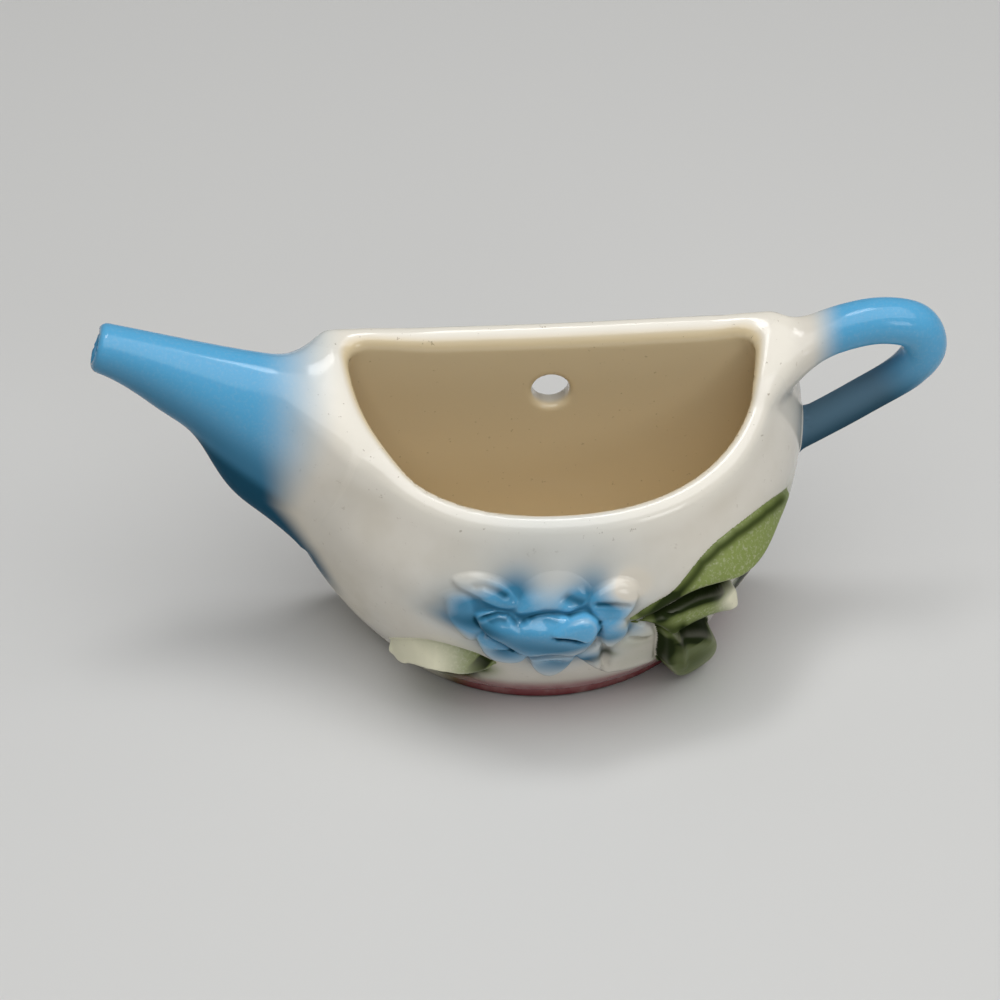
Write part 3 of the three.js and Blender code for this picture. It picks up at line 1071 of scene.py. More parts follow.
@dataclass
class Vessel:
    """The luted body: pocket, back wall, foot, spout and handle under one flowing glaze."""

    wall: PocketWall
    spout: Spout
    handle: Handle
    hole_radius: float = 4.0
    hole_drop: float = 16.5
    spout_fillets: Pair = (2.5, 11.0)
    handle_fillets: Pair = (1.5, 8.0)
    lip_round: float = 3.0
    hole_round: float = 1.6
    back_round: float = 3.0
    limb_depth: float = 0.3
    hole_reach: float = 12.0
    spout_drop: float = 0.9
    handle_drop: float = 0.9
    lute_rise: float = 0.75
    lute_round: float = 4.0
    lute_ease: float = 5.0
    hollow_round: float = 5.0
    foot_round: float = 1.2
    spout_fillet_heights: Pair = (40.0, 62.0)
    inside_edge: Pair = (0.4, 2.6)
    inside_specks: float = 0.5
    front_depths: Pair = (-12.0, -20.0)
    spout_sides: Pair = (-35.0, -45.0)
    pink_heights: Pair = (11.0, 5.5)
    pink_depths: Pair = (-4.0, -10.0)
    pink_sides: Pair = (-27.0, -18.0)
    # painted shade darkening the lowest few millimetres at the foot
    foot_shade: float = 0.9
    foot_shade_heights: Pair = (4.0, 0.5)
    # band of the painted highlight along the lip
    lip_highlight_band: Pair = (5.0, 1.0)
    low: Place = (-103.0, -60.0, -2.0)
    high: Place = (88.0, 2.0, 88.0)
    step: float = 0.8
    fit_rounds: int = 4
    least_square: float = 0.05
    longest_move: float = 0.6

    def filled(self, x: Array, y: Array, z: Array) -> Array:
        """Distance to the pocket's outside without its hollow."""
        radius, _, height = self.wall.unsettle(x, y, z)
        return self.wall.filled_field.at(radius, height)

    def hollow(self, x: Array, y: Array, z: Array) -> Array:
        """Distance to the hollow, in front of the back wall."""
        radius, _, height = self.wall.unsettle(x, y, z)
        return self.hollow_at(radius, height, y)

    def hollow_at(self, radius: Array, height: Array, y: Array) -> Array:
        """Distance to the hollow, from radius and height on the turned form."""
        turned = self.wall.hollow_field.at(radius, height)
        return soft_max(turned, y + self.wall.back, self.hollow_round)

    def distance(self, x: Array, y: Array, z: Array) -> Array:
        """Distance to the whole glazed body.

        Args:
            x: Places along the wall.
            y: Places out from the wall.
            z: Places up from the table.

        Returns:
            Distances, negative inside.
        """
        wall = self.wall
        radius, _, height = wall.unsettle(x, y, z)
        body = wall.filled_field.at(radius, height) + wall.unevenness(x, y, z)
        body = soft_min(body, wall.foot_field.at(radius, height), self.foot_round)
        outside = soft_max(radius - wall.mouth, 0 * radius, self.lute_ease)
        above = height - wall.height - self.lute_rise * outside
        spout = soft_max(self.spout.distance(x, y, z), above + self.spout_drop, self.lute_round)
        low, high = self.spout_fillets
        body = soft_min(body, spout, low + (high - low) * smooth_step(*self.spout_fillet_heights, z))
        low, high = self.handle_fillets
        fillet = low + (high - low) * smooth_step(*self.handle.arm_heights, z)
        handle = soft_max(self.handle.distance(x, y, z), above + self.handle_drop, self.lute_round)
        body = soft_min(body, handle, fillet)
        body = soft_max(body, y + 0 * x, self.back_round)
        body = soft_max(body, -self.hollow_at(radius, height, y), self.lip_round)
        hole = np.hypot(x, z - (wall.height - self.hole_drop)) - self.hole_radius
        hole = np.maximum(hole, -y - self.hole_reach)
        return soft_max(body, -hole, self.hole_round)

    def limb(self, x: Array, y: Array, z: Array) -> Array:
        """Tells where the spout and handle stand out from the pocket.

        Args:
            x: Places along the wall.
            y: Places out from the wall.
            z: Places up from the table.

        Returns:
            Values that are above zero there.
        """
        filled = self.filled(x, y, z)
        nearest = np.minimum(self.spout.distance(x, y, z), self.handle.distance(x, y, z))
        return np.minimum(filled + self.limb_depth, filled - nearest)

    @staticmethod
    def slope(form: Form, points: Array) -> Array:
        """Gradient of a field at some places.

        Args:
            form: The field.
            points: The places.

        Returns:
            One row per place.
        """
        feel = 0.3
        moves = feel * np.eye(3)
        return np.stack(
            [(form(*(points + m).T) - form(*(points - m).T)) / (2 * feel) for m in moves], axis=1
        )

    def build(self, shop: Workshop, sprig: "Sprig") -> None:
        """Builds and dresses the five pieces of the body.

        Args:
            shop: Makes the pieces.
            sprig: Gives the sprayed colour round the flower.
        """
        block = Block(self.low, self.high, self.step)
        x, y, z = block.axes()
        whole = self.distance(x, y, z)
        limb = self.limb(x, y, z)
        flat = np.zeros_like(whole)
        back = y + self.wall.back + flat
        foot = self.wall.foot - z + flat
        cuts = {
            "pocket_wall": (Slot.CREAM, ((back, 1), (foot, 1), (limb, 1))),
            "back_wall": (Slot.CREAM, ((back, -1), (foot, 1), (limb, 1))),
            "foot": (Slot.FOOT, ((foot, -1),)),
            "spout": (Slot.BLUE, ((limb, -1), (x + flat, 1))),
            "handle": (Slot.BLUE, ((limb, -1), (x + flat, -1))),
        }
        forms = {
            id(back): lambda px, py, pz: py + self.wall.back,
            id(foot): lambda px, py, pz: self.wall.foot - pz,
            id(limb): self.limb,
        }
        for node, (slot, sides) in cuts.items():
            values = whole
            for grid, sign in sides:
                values = np.maximum(values, sign * grid)
            points, faces, cells = surface_net(values, block.low, block.step)
            on_skin = self.crossed(whole, cells)
            kept = [
                (forms[id(grid)], self.crossed(grid, cells)) for grid, _ in sides if id(grid) in forms
            ]
            points, normals = self.fit(points, on_skin, kept)
            shop.piece(node, slot, points, faces, normals, self.coats(node, points, sprig))

    @staticmethod
    def crossed(grid: Array, cells: Array) -> Array:
        """True for each cell that the zero surface of a field passes."""
        signs = np.stack([grid[tuple((cells + corner).T)] < 0 for corner in CORNERS], axis=1)
        return signs.any(axis=1) & ~signs.all(axis=1)

    def fit(
        self, points: Array, on_skin: Array, kept: list[tuple[Form, Array]]
    ) -> tuple[Array, Array]:
        """Draws points onto the skin and onto the joints that they belong to.

        Args:
            points: Places to fit.
            on_skin: True for points of the glazed skin.
            kept: Fields of the joints, each with the points that lie on it.

        Returns:
            The fitted points and the surface's direction at each.
        """
        points = points.copy()
        rules = [*kept, (self.distance, on_skin)]
        for _ in range(self.fit_rounds):
            for form, mine in rules:
                if not mine.any():
                    continue
                chosen = points[mine]
                slope = self.slope(form, chosen)
                square = np.maximum((slope**2).sum(axis=1), self.least_square)
                move = (form(*chosen.T) / square)[:, None] * slope
                length = np.maximum(np.linalg.norm(move, axis=1, keepdims=True), 1e-9)
                points[mine] = chosen - move * np.minimum(1, self.longest_move * self.step / length)
        normals = np.zeros_like(points)
        for form, mine in rules:
            if mine.any():
                normals[mine] = self.slope(form, points[mine])
        length = np.linalg.norm(normals, axis=1, keepdims=True)
        return points, normals / np.maximum(length, 1e-9)

    def coats(self, node: str, points: Array, sprig: "Sprig") -> dict[Coat, Array]:
        """Sprayed colours on the body, with painted shade and a painted highlight on the lip.

        Args:
            node: Name of the piece.
            points: Places on it.
            sprig: Gives the spray round the flower.

        Returns:
            Strength of each coat.
        """
        x, y, z = points.T
        hollow = self.hollow(x, y, z)
        inside = 1 - smooth_step(*self.inside_edge, hollow)
        right, climb = self.wall.coordinates(points)
        front = smooth_step(*self.front_depths, y)
        blue = front * sprig.blue(right, climb) * (1 - inside)
        # painted shade round the sprig, and the deep colour of the thin blue halo
        pool = front * np.maximum(sprig.painted_shade(right, climb), sprig.halo(blue))
        left = smooth_step(*self.spout_sides, x)
        blue = np.maximum(blue, left * self.spout.blue(points) * (1 - inside))
        # under the spout: denser spray and painted shade
        pool = pool * (1 - left) + left * self.spout.underside(points)
        if node == "handle":
            # the handle's deep colour, with painted shade on the lower side of its lower arm
            pool = self.handle.underside(points)
            blue = self.handle.blue(points)
        pink = smooth_step(*self.pink_heights, z) * smooth_step(*self.pink_depths, y)
        pink = pink * smooth_step(*self.pink_sides, x)
        # painted shade at the foot, by the floor
        pool = np.maximum(pool, self.foot_shade * smooth_step(*self.foot_shade_heights, z))
        radius, _, height = self.wall.unsettle(x, y, z)
        # painted highlight on the lip
        far, near = self.lip_highlight_band
        lip = smooth_step(self.wall.height - far, self.wall.height - near, height)
        lip = lip * smooth_step(self.wall.mouth + far, self.wall.mouth + near, radius)
        # green overspray and painted shade round the leaves
        green = front * sprig.green_haze_and_shade(right, climb) * (1 - inside)
        return {
            Coat.BLUE: blue, Coat.GREEN: green, Coat.PINK: pink, Coat.INSIDE: inside,
            Coat.POOL: pool, Coat.EDGE: np.maximum(lip, self.inside_specks * inside),
            Coat.LIP: lip * (1 - inside),
        }


@dataclass(frozen=True)
class Stroke:
    """A line drawn on the wall with a tool or a brush: a crease, a ridge or a line of painted shade."""

    line: Pairs
    strength: float
    width: float
    soft_ends: float = 0.15
    end_strength: float = 0.2

    def amount(self, right: Array, climb: Array) -> Array:
        """Strength of the stroke at places on the wall.

        Args:
            right: Places right of the front line.
            climb: Places up from the foot.

        Returns:
            Strengths.
        """
        away, share = line_distance(np.array(self.line, float), right, climb)
        ends = smooth_step(0, self.soft_ends, share) * smooth_step(1, 1 - self.soft_ends, share)
        fading = self.end_strength + (1 - self.end_strength) * ends
        return self.strength * np.exp(-((away / self.width) ** 2)) * fading


@dataclass(frozen=True)
class Sprout:
    """One petal or leaf of the sprig: a piece of clay laid on the wall and shaped with a tool."""

    node: str
    slot: Slot
    outline: Pairs
    rim: float
    crown: float
    edge: float
    lean: Pair = (0.0, 0.0)
    hollows: tuple[Spray, ...] = ()
    side: float = 2.6
    hinge_points: int = 0
    ramp: float = 0.0

    def height(self, right: Array, climb: Array) -> Array:
        """Height of the clay above the wall; below zero well outside the outline.

        Args:
            right: Places right of the front line.
            climb: Places up from the foot.

        Returns:
            Heights in millimetres.
        """
        outline = closed_curve(self.outline)
        away, _ = line_distance(np.vstack([outline, outline[:1]]), right, climb)
        within = np.where(inside_outline(outline, right, climb), away, -away)
        share = 1 - np.clip(within / self.edge, 0, 1)
        height = self.rim + self.crown * np.sqrt(1 - share**2) + self.side * np.minimum(within, 0)
        middle = outline.mean(axis=0)
        height = height + self.lean[0] * (right - middle[0]) + self.lean[1] * (climb - middle[1])
        if self.hinge_points:
            hinge = np.array(self.outline[:self.hinge_points], float)
            height = height + self.ramp * line_distance(hinge, right, climb)[0]
        for hollow in self.hollows:
            height = height - hollow.amount(right, climb)
        return height


PETALS = (
    Sprout(
        "petal_cup", Slot.FLOWER,
        (
            (-18.3, 52.4), (-16.6, 54.6), (-14, 55.9), (-12, 55.8), (-10.6, 54.4), (-9.3, 52.4),
            (-7.5, 54.1), (-4.5, 55.5), (-1.5, 55.6), (2, 55.2), (5.6, 54), (7.2, 50.4), (7, 46),
            (6.4, 41.5), (5.7, 37.5), (4.8, 33.8), (3, 31.4), (0.6, 31.2), (-1.2, 31.9), (-2.5, 32.8),
            (-4, 31.7), (-6, 30.9), (-8, 31.2), (-9.6, 32.6), (-10.9, 35.6), (-12.2, 38.2),
            (-13.4, 40.6), (-15.2, 43), (-17, 46.5), (-18, 50),
        ),
        rim=1.3, crown=1.9, edge=6.0,
        hollows=(Spray(-13.2, 53, 2.6, 1.2), Spray(-5, 54, 3.2, 1.3)),
    ),
    Sprout(
        "petal_curl", Slot.FLOWER,
        (
            (-3, 50.4), (-1.5, 52.8), (1, 55), (4, 55.6), (6, 53.6), (6.2, 49.6), (5.2, 46.4), (3.6, 44.9),
            (2.6, 46.3), (1, 47.8), (-0.8, 48.5), (-2.6, 49),
        ),
        rim=2.8, crown=1.3, edge=3.0,
    ),
    Sprout(
        "petal_top", Slot.FLOWER,
        (
            (-9.8, 56.4), (-10.2, 59.6), (-9.4, 63.2), (-7, 66.4), (-3, 67.9), (1, 67.5), (4, 65.4),
            (5.2, 62.4), (4.6, 59.3), (2.4, 58), (0.4, 57), (-2, 57.7), (-4.5, 57.8), (-7, 56.9),
        ),
        rim=0.1, crown=1.1, edge=5.5, lean=(0.0, -0.15), side=0.7,
    ),
    Sprout(
        "petal_upper_left", Slot.FLOWER,
        (
            (-24.4, 63), (-22.2, 65), (-19, 66), (-15, 65.3), (-12, 63.2), (-10.2, 60.4), (-10.6, 57.9),
            (-13.5, 57.4), (-16.5, 58.4), (-20, 59.9), (-23, 61.2),
        ),
        rim=0.2, crown=1.1, edge=3.4, lean=(0.03, -0.08), side=0.8,
    ),
    Sprout(
        "petal_upper_right", Slot.FLOWER,
        (
            (5, 59.2), (6, 61.8), (9, 63.8), (12.5, 64.2), (15.4, 62), (16, 58.8), (15.2, 56), (14, 53.4),
            (12.3, 51.2), (9.4, 51.4), (6.8, 52.8), (5.6, 56),
        ),
        rim=0.5, crown=1.2, edge=3.2, lean=(0.0, -0.05), side=1.0,
    ),
    Sprout(
        "petal_right", Slot.FLOWER,
        (
            (7.4, 52.5), (10, 53.4), (12.4, 51.4), (13.2, 47), (13.5, 42), (13, 37), (12, 33.6),
            (10.5, 32.2), (9.2, 33.2), (8.4, 37), (7.8, 42), (7.4, 47),
        ),
        rim=0.9, crown=1.0, edge=2.4,
    ),
    Sprout(
        "petal_left", Slot.FLOWER,
        (
            (-25, 56.5), (-22.5, 59.4), (-19.6, 58.8), (-18.4, 54), (-18.2, 49.5), (-17.2, 45.8),
            (-16.4, 43), (-17.4, 38), (-18.4, 33.4), (-20, 33), (-21.8, 37.5), (-23.4, 43.5), (-24.6, 50),
        ),
        rim=0.0, crown=0.9, edge=3.4, side=0.5,
    ),
    Sprout(
        "petal_lower_left", Slot.FLOWER,
        (
            (-16, 42), (-17.6, 37.5), (-17.2, 31.5), (-16.2, 26), (-14.4, 23), (-11, 21.9), (-8.4, 23),
            (-7.2, 25.6), (-7.6, 28.6), (-9.4, 31.4), (-11.4, 34.8), (-13.4, 38.8),
        ),
        rim=1.0, crown=0.9, edge=2.2, hollows=(Spray(-12.2, 30.2, 2.0, 1.2),),
    ),
    Sprout(
        "petal_lower_mid", Slot.FLOWER,
        (
            (-6.4, 25.5), (-5.9, 21.4), (-4.9, 18.4), (-3.2, 16), (-1.6, 15.2), (0, 15.9), (1.6, 18.2),
            (2.7, 21.4), (3.1, 25.4), (2.4, 28.4), (-0.5, 29.4), (-3.5, 28.4), (-6, 27),
        ),
        rim=1.7, crown=0.5, edge=1.6, hollows=(Spray(-1.6, 23.5, 3.0, 1.0),),
    ),
    Sprout(
        "petal_lower_right", Slot.FLOWER,
        (
            (3.6, 27.6), (5, 30.6), (7.2, 35), (8.3, 33), (8.8, 29), (9.6, 24), (10.8, 19), (11.8, 14.8),
            (10, 15.4), (7.6, 18.8), (5.4, 22.6), (4, 25),
        ),
        rim=0.9, crown=0.8, edge=2.0,
    ),
    Sprout(
        "sepal_right", Slot.CREAM,
        (
            (11.9, 30), (12.5, 34), (14, 37.4), (14.8, 42), (15.3, 45.5), (17, 45.6), (18.5, 42.5),
            (20.5, 38), (22.3, 33.5), (23.6, 28), (25, 21), (26.5, 15), (27.5, 11), (22, 10), (16, 10.5),
            (12.8, 12), (12.3, 18), (12, 24),
        ),
        rim=0.5, crown=1.3, edge=4.0, side=1.4,
    ),
)

LEAVES = (
    Sprout(
        "leaf_left", Slot.LEAF,
        (
            (-14.6, 17.4), (-16, 18.9), (-17.5, 20.6), (-19.5, 22.1), (-22, 23.1), (-25, 23.7), (-28, 23.4),
            (-31, 22.3), (-34, 20.3), (-37, 17.9), (-40, 15.5), (-42.8, 13.2), (-43.8, 11.6), (-42.8, 10.8),
            (-40, 11.4), (-37, 13), (-35, 14.6), (-33, 15.9), (-30, 17.5), (-27, 18.6), (-24, 18.8),
            (-21, 18.1), (-18, 17.2), (-16, 16.8),
        ),
        rim=0.3, crown=0.3, edge=1.0, side=4.0, hinge_points=12, ramp=0.95,
    ),
    Sprout(
        "leaf_right_upper", Slot.LEAF,
        (
            (14.4, 48.2), (16, 50), (18.5, 51.9), (21, 53.1), (23.5, 54), (25.5, 55.6), (28, 58.2),
            (30.5, 60.6), (33, 62.3), (36.5, 63.4), (40, 63.5), (45, 62.6), (50, 60.8), (54, 58.5),
            (57, 56.2), (60, 53.6), (62.6, 51.2), (64, 49.8), (63, 49.3), (60.5, 50.2), (57.5, 51.2),
            (54.5, 51.9), (51, 52), (47, 51.7), (43.5, 51.6), (40, 52), (36.5, 52.8), (33, 53.6),
            (29.5, 53.8), (26, 53), (22.5, 51.6), (19, 49.9), (16, 48.2),
        ),
        rim=0.5, crown=0.4, edge=1.5, side=4.0, hinge_points=18, ramp=0.36,
    ),
    Sprout(
        "leaf_right_middle", Slot.LEAF,
        (
            (14.5, 46), (17, 46.3), (19.7, 46.8), (22.2, 47.6), (26, 48.6), (29.4, 48.6), (32.3, 47.2),
            (34.5, 45.8), (36.8, 45), (38.8, 44), (40, 41), (40.6, 37.5), (41, 34), (39.5, 33.6),
            (38, 34.3), (36, 35.9), (33.5, 37.3), (31, 38.3), (28, 38.4), (25.5, 37.6), (23.6, 36.9),
            (21.8, 39.5), (20.2, 42.5), (18.2, 44.4), (16, 45.2),
        ),
        rim=2.6, crown=0.7, edge=2.0, lean=(0.02, -0.16), side=4.0, hollows=(Spray(15, 46, 4, 1.5),),
    ),
    Sprout(
        "leaf_right_lower", Slot.LEAF,
        (
            (20.6, 39), (22.5, 38.4), (23.6, 37.2), (25, 34), (26.6, 30.6), (30, 28.3), (34, 25),
            (37.5, 21), (41, 17), (45, 11.5), (48.5, 6), (49.5, 2.8), (46, 0.6), (40, 0.6), (36, 3),
            (32.5, 7.5), (29.8, 11.5), (27.5, 14.5), (25.6, 18), (24, 22.5), (22.5, 28), (21.3, 34),
        ),
        rim=3.5, crown=1.2, edge=2.6, lean=(0.06, -0.05), side=3.6,
    ),
)

CREASES = (
    Stroke(
        (
            (-18, 51.8), (-16.2, 53.8), (-14, 55.5), (-12, 55.6), (-11.2, 54.7), (-10.4, 53), (-9.4, 50.6),
        ), 1.2, 0.5,
    ),
    Stroke(((-9.4, 51.8), (-8.3, 54), (-6, 55.9), (-3.5, 56.7), (-1, 56.2)), 1.3, 0.65),
    Stroke(((-2.7, 48.3), (-0.6, 47.9), (1.2, 47), (2.6, 45.2), (3.4, 43.9)), 1.5, 0.6),
    Stroke(
        (
            (-18.4, 52.8), (-18, 49), (-17, 45.6), (-15.2, 42.2), (-13.3, 39.6), (-12.1, 37.2),
            (-10.9, 34.6), (-9.6, 31.8), (-8, 30.4), (-6, 30), (-4, 30.8), (-2.5, 31.9), (-1.2, 31),
            (0.6, 30.3), (3, 30.5), (4.9, 33), (5.8, 37), (6.5, 41), (7, 45), (7.4, 50),
        ), 1.2, 0.6, 0.05,
    ),
    Stroke(((-23.6, 61.2), (-20.5, 60.1), (-17, 59)), 0.8, 0.45),
    Stroke(((-20.6, 62.2), (-17.5, 63.4), (-14.5, 62.7), (-11.6, 60.9)), 0.6, 0.9),
    Stroke(((-0.9, 62.3), (1.5, 60.7), (4.2, 58.9)), 0.8, 1.6),
    Stroke(((5.4, 58.9), (8, 58.8), (10.5, 58.2), (13, 57), (14.3, 55.2)), 0.6, 0.7),
    Stroke(
        (
            (-6.9, 26.4), (-6.4, 21), (-5.3, 17.6), (-3.4, 15), (-1.6, 14.2), (0.2, 14.9), (2, 17.4),
            (3.2, 21), (3.6, 25.6),
        ), 0.9, 0.5, 0.05,
    ),
    Stroke(((5.6, 23.6), (7.2, 22), (8, 20.4)), 0.5, 0.4),
    Stroke(((9.4, 32), (10.4, 28), (11.2, 23), (12.2, 17.5), (12.8, 14)), 1.2, 0.8),
    Stroke(((14.6, 36.8), (16.5, 34.4), (19.8, 32.2)), 0.9, 1.0),
    Stroke(
        ((14.4, 47.7), (17, 48.3), (19.6, 49.2), (22.3, 50.4), (26, 51.6), (29.5, 51.6), (32.3, 50.4)),
        1.4, 0.6,
    ),
    Stroke(((20.4, 48.4), (21.8, 47), (23.4, 46.3), (24.3, 47.1)), 1.0, 0.5),
    Stroke(
        (
            (15.6, 46.3), (18, 44.5), (19.8, 41.6), (20.8, 37.5), (22, 32), (23.5, 25), (25.3, 18),
            (27.2, 13.4),
        ), 0.9, 0.6, 0.05,
    ),
    Stroke(((23.6, 37.6), (25, 34), (26.8, 28.8), (29, 22.5), (32, 14.5), (35, 8)), -0.9, 0.8),
)

# painted shade along folds, in recesses and under the leaves
PAINTED_SHADE_STROKES = (
    Stroke(
        (
            (17, 50.4), (21, 52.4), (25, 54.6), (28.5, 58), (31.5, 61), (36, 62.6), (41, 62.6), (46, 61.3),
            (51, 59.4), (56, 56.2), (60, 53), (64, 50),
        ), 0.85, 1.2,
    ),
    Stroke(((15, 48.6), (20, 51.2), (26, 53.8)), 0.75, 2.6),
    Stroke(
        (
            (24, 50.4), (30, 50.4), (34, 49), (38, 47.8), (43, 47), (48, 46.4), (54, 45.8), (60, 44.4),
            (66, 40),
        ), 1.4, 2.8,
    ),
    Stroke(((18, 46), (22, 47.4), (27, 48), (31, 47), (34, 45.4), (36.5, 43.8)), 1.1, 2.2),
    Stroke(((17, 45), (20, 42.5), (23, 40), (27, 40)), 0.75, 3.0),
    Stroke(((24, 36.2), (28, 36.6), (32, 35.4), (36, 33), (40, 30), (44, 26)), 1.5, 2.8),
    Stroke(((30, 31), (34, 28), (38, 24), (43, 20)), 1.2, 3.2),
    Stroke(((58, 42), (50, 36), (50, 28), (53, 18)), 1.2, 6.0),
    Stroke(((21.5, 36), (23.5, 28), (26, 19), (29.5, 11)), 0.5, 2.0),
    Stroke(((27, 31), (31, 27.4), (35.5, 22.5)), 0.9, 2.4),
    Stroke(((-15.4, 17.6), (-16.8, 19.6), (-18.2, 21.4)), 0.95, 2.4),
    Stroke(((-16, 14.5), (-20, 13.5), (-26, 14), (-32, 11), (-38, 8.5)), 1.2, 3.4),
    Stroke(((-18, 9), (-26, 7), (-36, 4)), 0.9, 4.0),
    Stroke(((9.4, 32), (10.4, 28), (11.2, 23), (12.2, 17.5)), 0.9, 1.0),
    Stroke(((-0.6, 62), (1.8, 60.5), (3.9, 59)), 0.3, 1.8),
    Stroke(((-8, 53.6), (-5.5, 55), (-3, 55.3), (-1.2, 54.9)), 0.4, 1.3),
    Stroke(((-15.8, 52.4), (-13.6, 54.1), (-11.6, 53.8)), 0.4, 1.3),
    Stroke(((-20.2, 62), (-17.3, 63.2), (-14.5, 62.4), (-12, 60.9)), 0.3, 1.2),
    Stroke(((5.8, 58.7), (8.5, 58.5), (11, 57.8), (13.6, 56.2)), 0.4, 1.2),
    Stroke(((-13.2, 30.4), (-11, 32), (-9.4, 31)), 0.7, 1.1),
    Stroke(((-2.5, 47.8), (-0.4, 47.4), (1.4, 46.4), (2.8, 44.8)), 0.8, 0.7),
)


@dataclass
class Sprig:
    """The flower and leaves in relief on the front of the pocket."""

    wall: PocketWall
    sprouts: tuple[Sprout, ...] = PETALS + LEAVES
    creases: tuple[Stroke, ...] = CREASES
    shade_strokes: tuple[Stroke, ...] = PAINTED_SHADE_STROKES
    blue_puffs: tuple[Spray, ...] = (
        Spray(-6, 45, 13, 1.1), Spray(2, 52, 6, 0.6), Spray(9.5, 56, 5, 0.8), Spray(-13.5, 58, 5.5, 0.7),
        Spray(-21.5, 46, 7, 0.75), Spray(-21, 56, 5, 0.55), Spray(10.5, 43, 6, 0.65),
        Spray(-1.5, 23, 6.5, 0.8), Spray(-12, 30, 6, 0.6), Spray(7, 26, 5, 0.55), Spray(-14, 38, 5, 0.4),
        Spray(-3, 56, 19, 0.38),
        Spray(2, 60.4, 3.2, 0.5), Spray(6.8, 64, 5, 0.5), Spray(-10.5, 64.5, 5, 0.45),
        Spray(-4.5, 64, 5, -0.1), Spray(-19.5, 64.4, 4, -0.1), Spray(13, 61.4, 4.2, -0.75),
        Spray(14, 49, 2.4, -0.4), Spray(7, 23, 5, 0.25), Spray(-12, 26, 5, 0.15),
    )
    # puffs of painted shade; a negative one lightens
    shade_puffs: tuple[Spray, ...] = (
        Spray(-8, 42, 8, 0.55), Spray(-15.5, 49, 4.5, 0.45), Spray(1, 39, 6, 0.45),
        Spray(-21.5, 48, 6, 0.55), Spray(-21, 57, 4, 0.4), Spray(-11, 61.5, 4.5, 0.4),
        Spray(6.5, 63.5, 4, 0.45), Spray(-1.5, 21.5, 5.5, 0.5), Spray(-12.5, 29, 5, 0.5),
        Spray(7, 24.5, 5, 0.65), Spray(10.5, 41, 5, 0.45), Spray(9.5, 56, 3.5, 0.35),
        Spray(3, 52.5, 4, -0.5), Spray(26, 24, 6, 0.6), Spray(34, 15, 8, 0.5), Spray(23, 31, 4, 0.45),
        Spray(40, 8, 8, 0.4), Spray(18, 26, 9, 0.25), Spray(8, 21, 4, 0.25),
    )
    bare_puffs: tuple[Spray, ...] = (
        Spray(-34, 17, 8, 1.0), Spray(-26, 20.5, 5.5, 0.6), Spray(-42, 12, 7, 1.0),
        Spray(38.6, 41, 3.4, 1.1), Spray(40.4, 36, 3.2, 1.0),
    )
    # green on the body, mostly painted shade under and between the leaves
    green_and_shade_puffs: tuple[Spray, ...] = (
        Spray(34, 50, 4, 1.0), Spray(40.5, 48, 4.5, 1.0), Spray(46, 48, 4.5, 1.0),
        Spray(52, 47.5, 4.5, 1.0), Spray(58, 46, 5, 1.0), Spray(63, 44, 6, 1.0), Spray(65, 38, 6, 1.0),
        Spray(33, 31.5, 6, 1.0), Spray(38, 27, 6, 1.0), Spray(44, 32, 5, 0.9), Spray(47, 24, 6, 0.9),
        Spray(52, 33, 7, 1.0), Spray(-24, 10, 7, 1.0), Spray(-33, 6.5, 7, 1.0), Spray(-27, 1, 5, 0.9),
        Spray(-17, 13.5, 3.5, 0.8), Spray(11, 24, 2.2, 0.7), Spray(15, 48, 2.6, 0.6),
        Spray(20, 49, 3, 1.0),
        Spray(26, 51, 3, 1.0), Spray(30, 51.2, 3, 1.0), Spray(17, 33, 7, 0.35), Spray(20, 20, 8, 0.3),
    )
    step: float = 0.25
    low: Pair = (-54.0, 0.0)
    high: Pair = (69.0, 73.5)
    join: float = 0.6
    foot_fillet: float = 1.2
    feather: float = 0.03
    sunk: float = 0.9
    calm_rounds: int = 2
    broad_rounds: int = 14
    crease_rise: float = 1.5
    crease_shade: float = 0.5
    fold_depths: Pair = (0.05, 0.55)
    crest_heights: Pair = (0.1, 0.6)
    halo_heights: Pair = (1.3, 0.3)
    blue_start: Pair = (0.05, 0.3)
    blue_wear: float = 0.3
    green_wear: float = 0.15
    # extra colour in the creases, part of the painted shade
    fold_shade_tint: float = 0.3
    # paler colour on the bare leaf parts: a painted highlight
    bare_highlight: float = 0.8

    def blue(self, right: Array, climb: Array) -> Array:
        """Strength of the blue sprayed on and round the flower."""
        return sprayed(self.blue_puffs, right, climb)

    @staticmethod
    def halo(blue: Array) -> Array:
        """Share of the deeper colour where the blue is sprayed thinly over the bare wall."""
        return 0.65 * smooth_step(0.02, 0.3, blue)

    def green_haze_and_shade(self, right: Array, climb: Array) -> Array:
        """Strength of the green on the body: a little overspray round the leaves, mostly painted shade under
        and between them.
        """
        return sprayed(self.green_and_shade_puffs, right, climb)

    def painted_shade(self, right: Array, climb: Array) -> Array:
        """Strength of the painted shade along the folds, in recesses and under the leaves.

        Args:
            right: Places right of the front line.
            climb: Places up from the foot.

        Returns:
            Strengths from 0 to 1.
        """
        lines = sum(stroke.amount(right, climb) for stroke in self.shade_strokes)
        sunken = [crease for crease in self.creases if crease.strength > 0]
        drawn = sum(self.crease_shade * crease.amount(right, climb) for crease in sunken)
        puffs = sum(puff.amount(right, climb) for puff in self.shade_puffs)
        return np.clip(lines + drawn + puffs, 0, 1)

